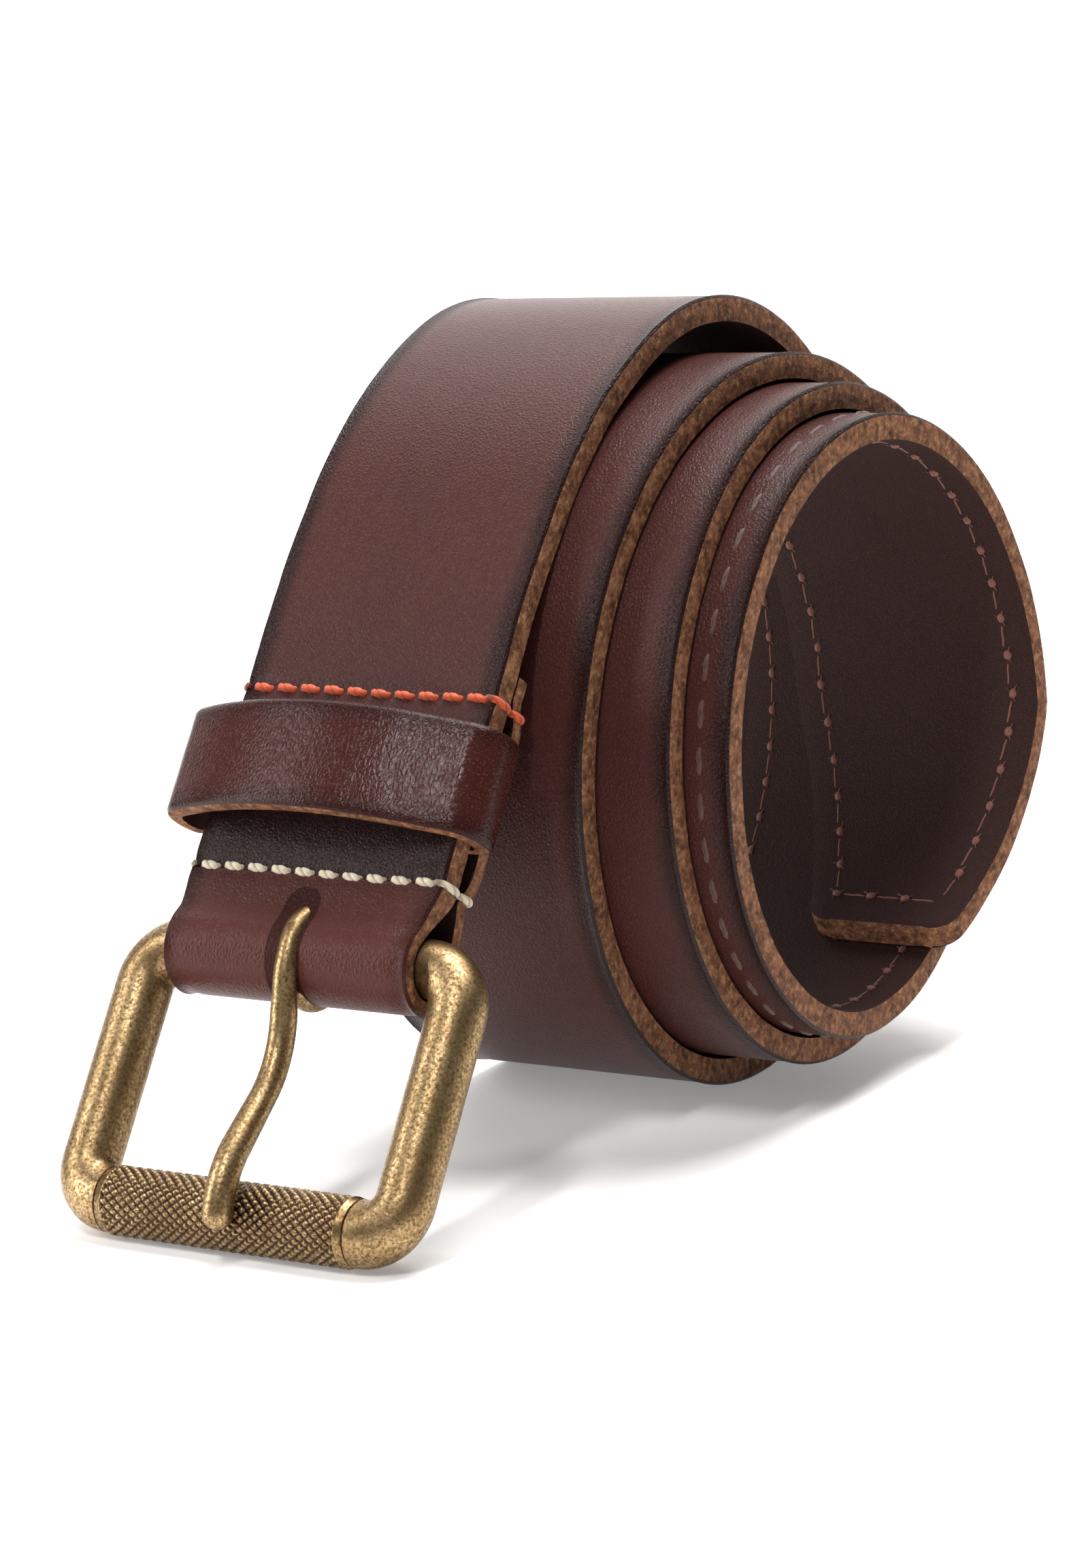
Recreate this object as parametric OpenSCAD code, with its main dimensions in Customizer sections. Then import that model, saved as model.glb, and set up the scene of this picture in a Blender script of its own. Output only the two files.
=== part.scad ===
// Leather belt with a roller buckle, coiled on its edge-on side and standing on the coil and the
// roller. X runs across the strap, Y from the buckle to the back of the coil, Z up.

/* [Strap] */
// Width of the strap
strap_w = 40; // [36:0.5:40]
// Thickness of the leather
strap_t = 3.8; // [3.4:0.1:3.8]
// Thickness where the leather is pared down to turn round the buckle bar
fold_t = 2.2; // [2:0.1:2.6]
// Thickness of the turned-back end, which is pared down behind the strap
under_t = 2.6; // [2.2:0.1:3]
// Length of the turned-back end, measured up from the buckle bar
turnback = 41; // [40:0.5:43]
// Width of the blunt tip
tip_w = 22.5; // [18:0.5:28]
// Length over which the strap narrows to its tip
tip_taper = 38; // [30:1:42]

/* [Coil] */
// Lean of the straight buckle end from upright, degrees
strap_lean = 34.6; // [34.2:0.1:34.8]
// Outer radius of the first full turn, at the top
coil_r = 54.4; // [53.5:0.1:56]
// Distance from one turn to the next
coil_pitch = 4.17; // [4.17:0.01:4.4]
// How much flatter the coil is at its front and back than at its top and bottom
coil_oval = 0.63; // [0.4:0.01:0.8]
// Lean of that oval, degrees
oval_lean = 10.6; // [0:0.1:15]
// Winding angle at the tip, degrees from the front of the first turn
tip_angle = 1325; // [1300:5:1335]
// Sideways place of the strap at the first top and at each half turn after it
coil_shift = [0, 3.3, 11.3, 17, 19.1, 23.2, 26.6, 36];
// First arch over the top: length and bend of each stretch
arch = [[23.6, 7.9], [31.1, 26.4], [37.1, 55.3]];
// Length of the last stretch of the arch, which brings the strap into the coil
arch_run_in = 55.4; // [54:0.1:57]

/* [Holes] */
// Width of the slot for the tongue
slot_w = 5.4; // [5:0.1:6]
// Height of the slot's round end above the buckle bar
slot_top = 6.6; // [6:0.1:7.5]
// Diameter of the adjustment holes
hole_d = 4.8; // [3:0.1:5.5]
// Number of adjustment holes
hole_count = 5; // [3:1:7]
// Distance between holes
hole_pitch = 25; // [20:0.5:26]
// Distance from the tip to the first hole
hole_start = 125; // [120:1:135]

/* [Seams] */
// Height of the pale seam above the buckle bar
pale_seam = 10.3; // [9.8:0.1:10.8]
// Height of the orange seam above the buckle bar
orange_seam = 36.1; // [36:0.1:36.4]
// Stitches in each seam across the strap
seam_stitches = 10; // [8:1:11]
// Thickness of the seam thread
seam_thread = 1.2; // [0.9:0.1:1.4]
// Stitch length along the tail
tail_stitch = 5.6; // [4.5:0.1:6]
// Thickness of the tail thread
tail_thread = 1; // [0.8:0.1:1.1]
// Distance from the edge to the tail's stitches
tail_inset = 4.3; // [3.5:0.1:5]
// Length of the stitched tail
tail_sewn = 330; // [200:10:360]

/* [Keeper] */
// Width of the keeper loop along the strap
keeper_w = 15; // [12:0.5:15]
// Thickness of the keeper's leather
keeper_t = 2.3; // [2:0.1:2.5]
// Thickness of its back run, pared down between the two layers of the strap
keeper_back = 1.4; // [1.2:0.1:1.5]
// Height of its lower edge above the buckle bar
keeper_at = 16.5; // [15.5:0.1:16.5]
// Height of its arch above the middle of the two layers
keeper_rise = 13; // [11:0.5:15]

/* [Buckle] */
// Distance between the centres of the side bars
frame_w = 49.6; // [49:0.1:51]
// Distance between the buckle bar and the roller's axis
frame_h = 35.3; // [34:0.1:36]
// Thickness of the frame's round bar
bar_d = 7.7; // [7:0.1:7.8]
// Thickness of the frame's ends beside the roller
shoulder_d = 8.7; // [8:0.1:9]
// Radius of the upper corners along the bar's middle
corner_r = 6; // [5:0.1:6.2]
// Outer diameter of the roller
roller_d = 9.2; // [8.8:0.1:9.6]
// Diameter of the axle inside the roller
axle_d = 5; // [4:0.1:5.5]
// Thickness of the tongue at its eye
tongue_d = 3.2; // [3:0.1:3.4]
// Thickness of the tongue at its tip
tongue_tip_d = 4; // [3.6:0.1:4.2]
// Bend of the tongue's neck, where it dips into the frame, degrees
tongue_dip = 22; // [20:1:23]
// Sideways slant of the tongue, degrees
tongue_slant = 2.2; // [0:0.1:3]

/* [Hidden] */
$fn = 48;
// Clearance of the leather round the buckle bar, of the roller on its axle and of the tongue's eye
fold_play = 0.17;
axle_play = 0.05;
eye_play = 0.07;
keeper_play = 0.25;
end_play = 0.2;
bar_r = bar_d / 2;
roller_r = roller_d / 2;

function radians(a) = a * PI / 180;
function smooth(x) = let (c = min(1, max(0, x))) c * c * (3 - 2 * c);
function outward(a) = [-cos(a), sin(a)];

// A strap or wire is laid out as a walk of short moves, each [length, bend].
function stretch(length, bend, steps) = [for (i = [1:steps]) [length / steps, bend / steps]];
// A place on the walk is [angle, y, z, distance].
function chord(m) = m[1] == 0 ? m[0] : m[0] * sin(m[1] / 2) / radians(m[1] / 2);
function next_place(p, m) =
    let (mid = p[0] + m[1] / 2, c = chord(m))
    [p[0] + m[1], p[1] + c * sin(mid), p[2] + c * cos(mid), p[3] + m[0]];
function walk(start, moves) =
    [for (i = 0, p = start; i <= len(moves); p = i < len(moves) ? next_place(p, moves[i]) : p,
          i = i + 1) p];

// ---- The strap's route, along its flesh side ----
// The two layers part at the pale seam, run straight to the bar and go round it.
wrap_r = bar_r + fold_play;
crease_r = 5;
crease_d = norm([pale_seam, crease_r]);
fold_bend = asin((wrap_r + crease_r) / crease_d) - atan(crease_r / pale_seam);
fold_run = sqrt(pow(crease_d, 2) - pow(wrap_r + crease_r, 2));
wrap_turn = 180 + 2 * fold_bend;
join_angle = 180;
coil_step = 5;
tip_step = 1.25;
tip_fine = 45;
straight_up = 33;
arch_bend = arch[0][1] + arch[1][1] + arch[2][1];

function coil_move(a, step) =
    let (r = coil_r - coil_pitch * (a - 90) / 360 + 3 * coil_oval * cos(2 * (a - oval_lean)) - strap_t)
    [r * radians(step), step];

under_moves = stretch(turnback - pale_seam, 0, 24);
fold_moves = concat(
    stretch(crease_r * radians(fold_bend), -fold_bend, 4),
    stretch(fold_run, 0, 3),
    stretch(wrap_r * radians(wrap_turn), wrap_turn, 24),
    stretch(fold_run, 0, 3),
    stretch(crease_r * radians(fold_bend), -fold_bend, 4));
arch_moves = concat(
    stretch(straight_up, 0, 8),
    stretch(arch[0][0], arch[0][1], 6),
    stretch(arch[1][0], arch[1][1], 8),
    stretch(arch[2][0], arch[2][1], 12),
    stretch(arch_run_in, join_angle - strap_lean - arch_bend, 12));
coil_moves = concat(
    [for (a = [join_angle:coil_step:tip_angle - tip_fine - coil_step])
        coil_move(a + coil_step / 2, coil_step)],
    [for (a = [tip_angle - tip_fine:tip_step:tip_angle - tip_step])
        coil_move(a + tip_step / 2, tip_step)]);
first_coil_place = len(under_moves) + len(fold_moves) + len(arch_moves);

// The walk starts at the turned-back end, with the buckle bar at Y = 0, Z = 0.
route = walk([strap_lean - 180, turnback * sin(strap_lean), turnback * cos(strap_lean), 0],
             concat(under_moves, fold_moves, arch_moves, coil_moves));
strap_len = route[len(route) - 1][3];
fold_mid = turnback - pale_seam + crease_r * radians(fold_bend) + fold_run
    + wrap_r * radians(wrap_turn) / 2;

// The grain side stands on the floor at the bottom of the coil.
function grain_z(p) = p[2] + strap_t * sin(p[0]);
coil_bottom = min([for (i = [first_coil_place:len(route) - 1]) grain_z(route[i])]);
bar_z = -coil_bottom;
frame_lean = 90 - asin((bar_z - roller_r) / frame_h);

// ---- Thickness, bow and width along the strap ----
function thickness(d) = let (t = d < fold_mid ? under_t : strap_t) fold_t + (t - fold_t) * off_fold(d);
// The under layer bows away to leave room for the keeper's back run.
layer_gap = 0.1;
keeper_gap = keeper_back + 2 * keeper_play;
function bow(up) = layer_gap + (keeper_gap - layer_gap)
    * smooth((up - 8.6) / 4.6) * (1 - smooth((up - 33.8) / 4.4));
function is_under(d) = d < turnback - pale_seam + crease_r;
function under_up(d) = turnback - d;
function fade(d) = smooth((turnback - pale_seam + crease_r - d) / crease_r);
function extra(p) = is_under(p[3]) ? bow(under_up(p[3])) * fade(p[3]) : 0;
function flesh(p) = [p[1], p[2]] + outward(p[0]) * extra(p);
function grain(p) = flesh(p) + outward(p[0]) * thickness(p[3]);

function tab(t, i) = t[min(len(t) - 1, max(0, i))];
// A smooth curve through the table's values.
function through(t, u) =
    let (i = floor(u), f = u - i, a = tab(t, i - 1), b = tab(t, i), c = tab(t, i + 1), d = tab(t, i + 2))
    (2 * b + (c - a) * f + (2 * a - 5 * b + 4 * c - d) * f * f + (3 * b - a - 3 * c + d) * f * f * f) / 2;
function shift(a) = a < 90 ? coil_shift[0] : through(coil_shift, (a - 90) / 180);

// How far round the fold the leather is pared, and over what length that fades out.
fold_reach = 9;
fold_fade = 7;
function off_fold(d) = smooth((abs(d - fold_mid) - fold_reach) / fold_fade);
tip_corner = 3;
function half_width(from_tip) =
    let (taper = max(0, 1 - from_tip / tip_taper), round = max(0, 1 - from_tip / tip_corner))
    strap_w / 2 - (strap_w - tip_w) / 2 * pow(taper, 1.15) - tip_corner * (1 - sqrt(1 - round * round));
// Each edge is trimmed a little where it passes between the frame's corners.
fold_trim = 0.8;
function half_at(d) = half_width(strap_len - d) - fold_trim * (1 - off_fold(d));

// ---- The tongue's route ----
// The tongue leaves its eye level with the bar, in front of it, and heads down to the roller.
// Each part is [length, bend, thickness]. A straight part tapers to the next one's thickness.
eye_r = bar_r + eye_play + tongue_d / 2;
tongue_mid_d = (tongue_d + tongue_tip_d) / 2;
tongue_neck = [
    [0.5, 0, tongue_d],
    [6, -tongue_dip, tongue_d],
    [2.5, 0, tongue_d],
    [12, 43, tongue_mid_d]];
function joints(parts) = walk([0, 0, 0, 0], [for (p = parts) each stretch(p[0], p[1], 8)]);
// The straight part after the neck is as long as brings the bent tip to rest on the roller.
tip_bend = 46;
tip_len = 11;
rest_gap = 0.05;
tip_bend_r = tip_len / radians(tip_bend);
neck_end = joints(tongue_neck)[8 * len(tongue_neck)];
rise = [cos(neck_end[0]), sin(neck_end[0])];
bend_centre = [neck_end[2] - frame_h, eye_r + neck_end[1]] + tip_bend_r * [rise[1], -rise[0]];
tip_to_axis = tip_bend_r - roller_r - tongue_tip_d / 2 - rest_gap;
rise_len = -bend_centre * rise
    - sqrt(pow(bend_centre * rise, 2) - bend_centre * bend_centre + pow(tip_to_axis, 2));
tongue_parts = concat(tongue_neck,
    [[rise_len, 0, tongue_mid_d], [tip_len, -tip_bend, tongue_tip_d]]);
tongue_joints = joints(tongue_parts);
function tongue_joint(i) = tongue_joints[8 * i];

// ---- Where the belt lies in its own frame ----
// X = 0 is midway from the frame's left side to the strap's last turn. Y = 0 is midway from the
// tongue's foremost point to the back of the coil.
side_x = frame_w / 2;
coil_back = max([for (p = route) p[1] - strap_t * cos(p[0])]);
tongue_front = min([for (p = tongue_joints)
    -(eye_r + p[1]) * cos(frame_lean) - p[2] * sin(frame_lean) - tongue_tip_d / 2]);
strap_right = max([for (p = route) shift(p[0]) + half_width(strap_len - p[3])]);
bar_x = (side_x + bar_r - strap_right) / 2;
bar_y = -(coil_back + tongue_front) / 2;

module part_frame() translate([bar_x, bar_y, bar_z]) children();

function section(p) =
    let (x = shift(p[0]), w = half_at(p[3]), f = flesh(p), g = grain(p))
    [[x - w, f[0], f[1]], [x + w, f[0], f[1]], [x + w, g[0], g[1]], [x - w, g[0], g[1]]];

// Joins rings of points, each with the same count, into one closed solid.
module skin(rings) {
    n = len(rings[0]);
    last = len(rings) - 1;
    sides = [for (i = [0:last - 1], j = [0:n - 1])
        [i * n + j, i * n + (j + 1) % n, (i + 1) * n + (j + 1) % n, (i + 1) * n + j]];
    tris = [for (q = sides, k = [0, 1]) k == 0 ? [q[0], q[1], q[2]] : [q[0], q[2], q[3]]];
    ends = [[for (j = [n - 1:-1:0]) j], [for (j = [0:n - 1]) last * n + j]];
    polyhedron([for (r = rings, p = r) p], concat(tris, ends), convexity = 12);
}

// Local axes on the straight buckle end: Z up the strap from the bar, Y towards the coil.
module on_strap(up) part_frame() rotate([-strap_lean, 0, 0]) translate([0, 0, up]) children();

// Tables of the route against distance, for whatever is sewn or punched along it.
angle_at = [for (p = route) [p[3], p[0]]];
y_at = [for (p = route) [p[3], p[1]]];
z_at = [for (p = route) [p[3], p[2]]];
// Local axes on the coil: Z along the strap, Y into the coil, the flesh side at Y = 0.
module on_coil(from_tip, x) {
    d = strap_len - from_tip;
    a = lookup(d, angle_at);
    part_frame()
        translate([shift(a) + x, lookup(d, y_at), lookup(d, z_at)])
            rotate([-a, 0, 0])
                children();
}

module strap() {
    color("#4a2622")
        difference() {
            part_frame() skin([for (p = route) section(p)]);
            tongue_slot();
            for (i = [0:hole_count - 1])
                on_coil(hole_start + i * hole_pitch, 0)
                    translate([0, 0.15, 0])
                        rotate([90, 0, 0])
                            cylinder(d = hole_d, h = strap_t + 0.3);
        }
}

// A slot with round ends through both layers, open round the fold.
module tongue_slot() {
    on_strap(0) {
        translate([-slot_w / 2, -12, -12])
            cube([slot_w, 24, 12 + slot_top]);
        translate([0, 12, slot_top])
            rotate([90, 0, 0])
                cylinder(d = slot_w, h = 24);
    }
}

// ---- Keeper ----
// The inside of the loop: corners [x, out from the middle of the layers, radius], anticlockwise.
keeper_inner = [
    [strap_w / 2 + 0.9, -keeper_play, 1],
    [strap_w / 2 + 0.9, 4.1, 3],
    [-4.4, keeper_rise, 45],
    [-strap_w / 2 - 4.2, 4.2, 2.5],
    [-strap_w / 2 - 4.2, -keeper_play, 1.8]];
function turn_between(h1, h2) = (h2 - h1 + 540) % 360 - 180;
function direction(a, b) = atan2(b[1] - a[1], b[0] - a[0]);
// Points of one rounded corner, grown outward by a wall.
function corner(a, b, c, wall, steps) =
    let (h1 = direction(a, b), turn = turn_between(h1, direction(b, c)), r = b[2],
         back = r * tan(turn / 2),
         centre = [b[0], b[1]] - back * [cos(h1), sin(h1)] + r * [-sin(h1), cos(h1)])
    [for (k = [0:steps]) centre + (r + wall) * [sin(h1 + turn * k / steps), -cos(h1 + turn * k / steps)]];
function outline(corners, wall) =
    let (n = len(corners))
    [for (i = [0:n - 1]) each corner(corners[(i + n - 1) % n], corners[i], corners[(i + 1) % n], wall, 12)];

butt_x = 4;
butt_gap = 0.15;
module keeper_loop() {
    color("#4a2623")
        on_strap(keeper_at)
            linear_extrude(keeper_w)
                mirror([0, 1])
                    difference() {
                        polygon(outline(keeper_inner, keeper_t));
                        polygon(outline(keeper_inner, 0));
                        translate([-40, -keeper_play - keeper_back - 4])
                            square([80, 4]);
                        translate([butt_x, -6])
                            square([butt_gap, 6.2]);
                    }
}

// A wire staple clenched across the butt joint, its crown and legs set into the leather.
staple_wire = 0.7;
staple_span = 7;
staple_leg = 1;
module keeper_staple() {
    color("#b9b4a8")
        on_strap(keeper_at + keeper_w / 2)
            translate([butt_x + butt_gap / 2, keeper_play + keeper_back - staple_wire / 2, 0]) {
                rotate([0, 90, 0])
                    cylinder(d = staple_wire, h = staple_span, center = true, $fn = 24);
                for (side = [-1, 1])
                    translate([side * (staple_span / 2 - staple_wire / 2), 0, 0])
                        rotate([90, 0, 0])
                            cylinder(d = staple_wire, h = staple_leg, $fn = 24);
            }
}

// ---- Buckle ----
// Local axes: Z from the roller up to the bar, Y towards the coil.
module in_buckle() part_frame() rotate([-frame_lean, 0, 0]) children();

axle_half = side_x - 5.2;
low_corner_r = 4.9;
shoulder_len = 3;
// A short core inside each joint makes the abutting bars one solid.
core_r = bar_r - 1;
core_half = 0.5;

module bar_between(x1, x2, z, r) {
    translate([x1, 0, z])
        rotate([0, 90, 0])
            cylinder(r = r, h = x2 - x1);
}

module side_bar(z1, z2, r) {
    translate([side_x, 0, z1])
        cylinder(r = r, h = z2 - z1);
}

// A quarter bend of the bar, starting at an angle measured from +X towards +Z.
module bar_bend(r, start) {
    rotate([90, 0, 0])
        rotate([0, 0, start])
            rotate_extrude(angle = 90)
                translate([r, 0])
                    circle(r = bar_r);
}

module buckle_frame() {
    color("#8a6a35")
        in_buckle() {
            bar_between(-side_x + corner_r, side_x - corner_r, 0, bar_r);
            bar_between(-axle_half - 1, axle_half + 1, -frame_h, axle_d / 2);
            for (side = [0, 1])
                mirror([side, 0, 0]) {
                    translate([side_x - corner_r, 0, -corner_r])
                        bar_bend(corner_r, 0);
                    bar_between(side_x - corner_r - core_half, side_x - corner_r + core_half, 0, core_r);
                    side_bar(-corner_r - core_half, -corner_r + core_half, core_r);
                    side_bar(-frame_h + low_corner_r, -corner_r, bar_r);
                    side_bar(-frame_h + low_corner_r - core_half, -frame_h + low_corner_r + core_half, core_r);
                    translate([side_x - low_corner_r, 0, -frame_h + low_corner_r])
                        bar_bend(low_corner_r, -90);
                    // The shoulder beside the roller, a little thicker than the bar.
                    translate([axle_half, 0, -frame_h])
                        rotate([0, 90, 0])
                            cylinder(d1 = shoulder_d, d2 = bar_d - 0.5, h = shoulder_len);
                }
        }
}

roller_half = axle_half - end_play;
collar_w = 0.7;
module buckle_roller() {
    color("#7d5a2c")
        in_buckle()
            translate([-roller_half, 0, -frame_h])
                rotate([0, 90, 0])
                    difference() {
                        union() {
                            translate([0, 0, collar_w / 2])
                                cylinder(r = roller_r, h = 2 * roller_half - collar_w);
                            cylinder(r = roller_r - 0.12, h = 2 * roller_half);
                        }
                        translate([0, 0, -1])
                            cylinder(r = axle_d / 2 + axle_play, h = 2 * roller_half + 2);
                    }
}

tongue_x = 0.7;
eye_turn = 285;

// The parts meet face to face, each joint with a short core inside that makes them one solid.
// A length of wire heading down local Z, straight or bent towards local -Y by its bend.
module wire(length, bend, d1, d2) {
    if (bend == 0)
        translate([0, 0, -length])
            cylinder(d1 = d2, d2 = d1, h = length);
    else {
        r = length / radians(abs(bend));
        translate([0, -sign(bend) * r, 0])
            rotate([-90, 0, 0])
                rotate([0, -sign(bend) * 90, 0])
                    rotate_extrude(angle = abs(bend))
                        translate([r, 0])
                            circle(d = d1);
    }
}

module dome(d) {
    rotate_extrude()
        intersection() {
            circle(d = d);
            translate([0, -d])
                square(d);
        }
}

module buckle_tongue() {
    last = len(tongue_parts);
    color("#856431")
        in_buckle()
            translate([tongue_x, 0, 0])
                rotate([0, -tongue_slant, 0]) {
                    rotate([90, 0, 0])
                        rotate([0, -90, 0])
                            rotate_extrude(angle = eye_turn)
                                translate([eye_r, 0])
                                    circle(d = tongue_d);
                    for (i = [0:last]) {
                        p = tongue_joint(i);
                        translate([0, -eye_r - p[1], -p[2]])
                            rotate([-p[0], 0, 0]) {
                                if (i == last)
                                    dome(tongue_tip_d);
                                else
                                    wire(tongue_parts[i][0], tongue_parts[i][1], tongue_parts[i][2],
                                         tongue_parts[min(i + 1, last - 1)][2]);
                                cylinder(d = tongue_d - 1, h = 0.6, center = true);
                            }
                    }
                }
}

// ---- Threads ----
stitch_pitch = (strap_w - 2) / seam_stitches;
module seam_bar(x1, x2, y, d) {
    translate([x1, y, 0])
        rotate([0, 90, 0])
            cylinder(d = d, h = x2 - x1, $fn = 24);
}

module seam_legs(y1, y2, d) {
    for (i = [0:seam_stitches])
        translate([-strap_w / 2 + 1 + i * stitch_pitch, y2, 0])
            rotate([90, 0, 0])
                cylinder(d = d, h = y2 - y1, $fn = 24);
}

// The thread on the grain side, whose last stitch wraps over both edges of the front layer.
module top_thread(up) {
    y = -strap_t - 0.1;
    leg_d = 0.7 * seam_thread;
    on_strap(up) {
        for (i = [0:seam_stitches - 1])
            seam_bar(-strap_w / 2 + 1.3 + i * stitch_pitch,
                     -strap_w / 2 + 0.7 + (i + 1) * stitch_pitch, y, seam_thread);
        seam_legs(y, 0, leg_d);
        for (side = [-1, 1])
            translate([side * strap_w / 2, 0, 0])
                rotate([90, 0, 0])
                    cylinder(d = seam_thread, h = -y + seam_thread / 2, $fn = 24);
        seam_bar(-strap_w / 2, -strap_w / 2 + 1.5, y, seam_thread);
        seam_bar(strap_w / 2 - 1.5, strap_w / 2, y, seam_thread);
    }
}

// The thread on the back, along the under layer's grain side.
module under_thread(up) {
    y = bow(up) + under_t + 0.1;
    leg_d = 0.7 * seam_thread;
    on_strap(up) {
        for (i = [0:seam_stitches - 1])
            seam_bar(-strap_w / 2 + 1.3 + i * stitch_pitch,
                     -strap_w / 2 + 0.7 + (i + 1) * stitch_pitch, y, seam_thread);
        seam_legs(0.05, y, leg_d);
        for (side = [-1, 1])
            translate([side * strap_w / 2, y + seam_thread / 2, 0])
                rotate([90, 0, 0])
                    cylinder(d = seam_thread, h = y + seam_thread / 2 - 0.05, $fn = 24);
        seam_bar(-strap_w / 2, -strap_w / 2 + 1.5, y, seam_thread);
        seam_bar(strap_w / 2 - 1.5, strap_w / 2, y, seam_thread);
    }
}

module orange_top_thread() color("#d8532b") top_thread(orange_seam);
module orange_under_thread() color("#c94a25") under_thread(orange_seam);
module pale_top_thread() color("#d8cdb8") top_thread(pale_seam);
module pale_under_thread() color("#cabfa9") under_thread(pale_seam);

// Stitches down both edges of the tail and across its tip, all at one depth.
tail_end_row = 5.4;
tail_gap = 1.2;
stitch_len = tail_stitch - tail_gap;
tail_count = floor((tail_sewn - tail_end_row) / tail_stitch);
end_row_half = half_width(tail_end_row) - tail_inset;
end_row_count = round(2 * end_row_half / tail_stitch);
end_row_pitch = 2 * end_row_half / end_row_count;

module tail_stitches(y, d) {
    for (side = [-1, 1], i = [0:tail_count - 1]) {
        at = tail_end_row + (i + 0.5) * tail_stitch;
        w = half_width(at) - tail_inset;
        slope = half_width(at + 1) - half_width(at - 1);
        on_coil(at, side * w)
            rotate([0, -side * atan(slope / 2), 0])
                translate([0, y, 0])
                    cylinder(d = d, h = stitch_len, center = true, $fn = 16);
    }
    for (i = [0:end_row_count - 1])
        on_coil(tail_end_row, -end_row_half + (i + 0.5) * end_row_pitch)
            translate([0, y, 0])
                rotate([0, 90, 0])
                    cylinder(d = d, h = end_row_pitch - tail_gap, center = true, $fn = 16);
}

// Half sunk into the leather, so that neighbouring turns still clear them.
stitch_sunk = 0.2;
module tail_top_thread() color("#6b3a2a") tail_stitches(-strap_t + stitch_sunk, tail_thread);
module tail_under_thread() color("#7a4030") tail_stitches(-stitch_sunk, 0.8 * tail_thread);

strap();
keeper_loop();
keeper_staple();
buckle_frame();
buckle_roller();
buckle_tongue();
orange_top_thread();
orange_under_thread();
pale_top_thread();
pale_under_thread();
tail_top_thread();
tail_under_thread();
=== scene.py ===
"""A leather belt with a roller buckle, coiled and standing on its coil and its roller."""
import math

import bpy
from mathutils import Matrix, Vector, noise


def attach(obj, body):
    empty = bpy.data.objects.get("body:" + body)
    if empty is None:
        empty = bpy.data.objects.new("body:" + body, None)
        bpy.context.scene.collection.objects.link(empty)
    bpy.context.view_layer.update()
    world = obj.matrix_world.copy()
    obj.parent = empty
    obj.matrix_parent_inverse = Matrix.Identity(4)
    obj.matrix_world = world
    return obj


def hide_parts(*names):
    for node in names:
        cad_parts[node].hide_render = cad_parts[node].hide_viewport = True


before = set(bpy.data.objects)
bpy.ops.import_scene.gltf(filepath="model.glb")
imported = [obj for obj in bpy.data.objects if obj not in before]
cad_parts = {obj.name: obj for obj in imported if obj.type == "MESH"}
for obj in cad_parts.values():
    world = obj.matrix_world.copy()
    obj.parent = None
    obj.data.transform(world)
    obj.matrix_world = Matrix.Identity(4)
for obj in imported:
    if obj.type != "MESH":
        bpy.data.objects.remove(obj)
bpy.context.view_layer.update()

bl_info = {
    "name": "Coiled Leather Belt",
    "version": (1, 0, 0),
    "blender": (4, 5, 0),
    "location": "View3D > Sidebar > Belt",
    "description": "Makes a coiled leather belt with a knurled roller buckle, keeper and stitched seams",
    "category": "Mesh",
}

MM = 0.001

# ---------------------------------------------------------------- sizes, in millimetres and degrees
BAR = Vector((-11.601, -50.121, 33.684))    # middle of the buckle bar
LEAN = 34.6                                  # of the straight buckle end
FRAME_LEAN = 34.522                          # of the buckle
STRAP_W, STRAP_T, FOLD_T, UNDER_T = 40, 3.8, 2.2, 2.6
TIP_W, TIP_TAPER, TIP_CORNER = 22.5, 38, 3
TURNBACK, PALE_UP, ORANGE_UP = 41, 10.3, 36.1
STRAIGHT_UP, RUN_IN = 33, 55.4
ARCH = ((23.6, 7.9, 6), (31.1, 26.4, 8), (37.1, 55.3, 12))
COIL_R, COIL_PITCH, COIL_OVAL, OVAL_LEAN, TIP_ANGLE = 54.4, 4.17, 0.63, 10.6, 1325
COIL_SHIFT = (0, 3.3, 11.3, 17, 19.1, 23.2, 26.6, 36)
BAR_R, ROLLER_R, AXLE_R, FRAME_W, FRAME_H = 3.85, 4.6, 2.5, 49.6, 35.3
SHOULDER_R, UPPER_CORNER_R, LOWER_CORNER_R = 4.35, 6, 4.9
AXLE_HALF, ROLLER_HALF = 19.6, 19.4
KNURL_ROUND = 22                             # grooves round the roller, each way
SLOT_W, SLOT_TOP = 5.4, 5.6
# KEEPER_SHADOW: painted shadow of the keeper, near-black on the grain from the pale seam up this far
KEEPER_SHADOW = 16                              # height of the dark stretch above the pale seam
HOLE_D, HOLE_COUNT, HOLE_PITCH, HOLE_START = 4.8, 5, 25, 125
KEEPER_AT, KEEPER_W, KEEPER_T, KEEPER_BACK, KEEPER_PLAY, BUTT_X = 16.5, 15, 2.3, 1.4, 0.25, 4
TONGUE_D, TONGUE_MID_D, TONGUE_TIP_D, TONGUE_X, TONGUE_SLANT, EYE_TURN = 3.2, 3.6, 4, 0.7, 2.2, 285
EYE_R = BAR_R + 0.07 + TONGUE_D / 2
SEAM_STITCHES, SEAM_THREAD = 10, 1.2
TAIL_STITCH, TAIL_GAP, TAIL_THREAD, TAIL_INSET, TAIL_SEWN, TAIL_END_ROW = 5.6, 0.7, 1, 4.3, 330, 5.4


# ---------------------------------------------------------------- settings
def colour(name, hex_value, description):
    return bpy.props.FloatVectorProperty(
        name=name, description=description, subtype="COLOR", size=3, min=0, max=1, default=linear(hex_value))


def linear(hex_value):
    """An sRGB hex colour as linear RGB."""
    parts = [int(hex_value[i:i + 2], 16) / 255 for i in (1, 3, 5)]
    return tuple(p / 12.92 if p <= 0.04045 else ((p + 0.055) / 1.055) ** 2.4 for p in parts)


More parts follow.
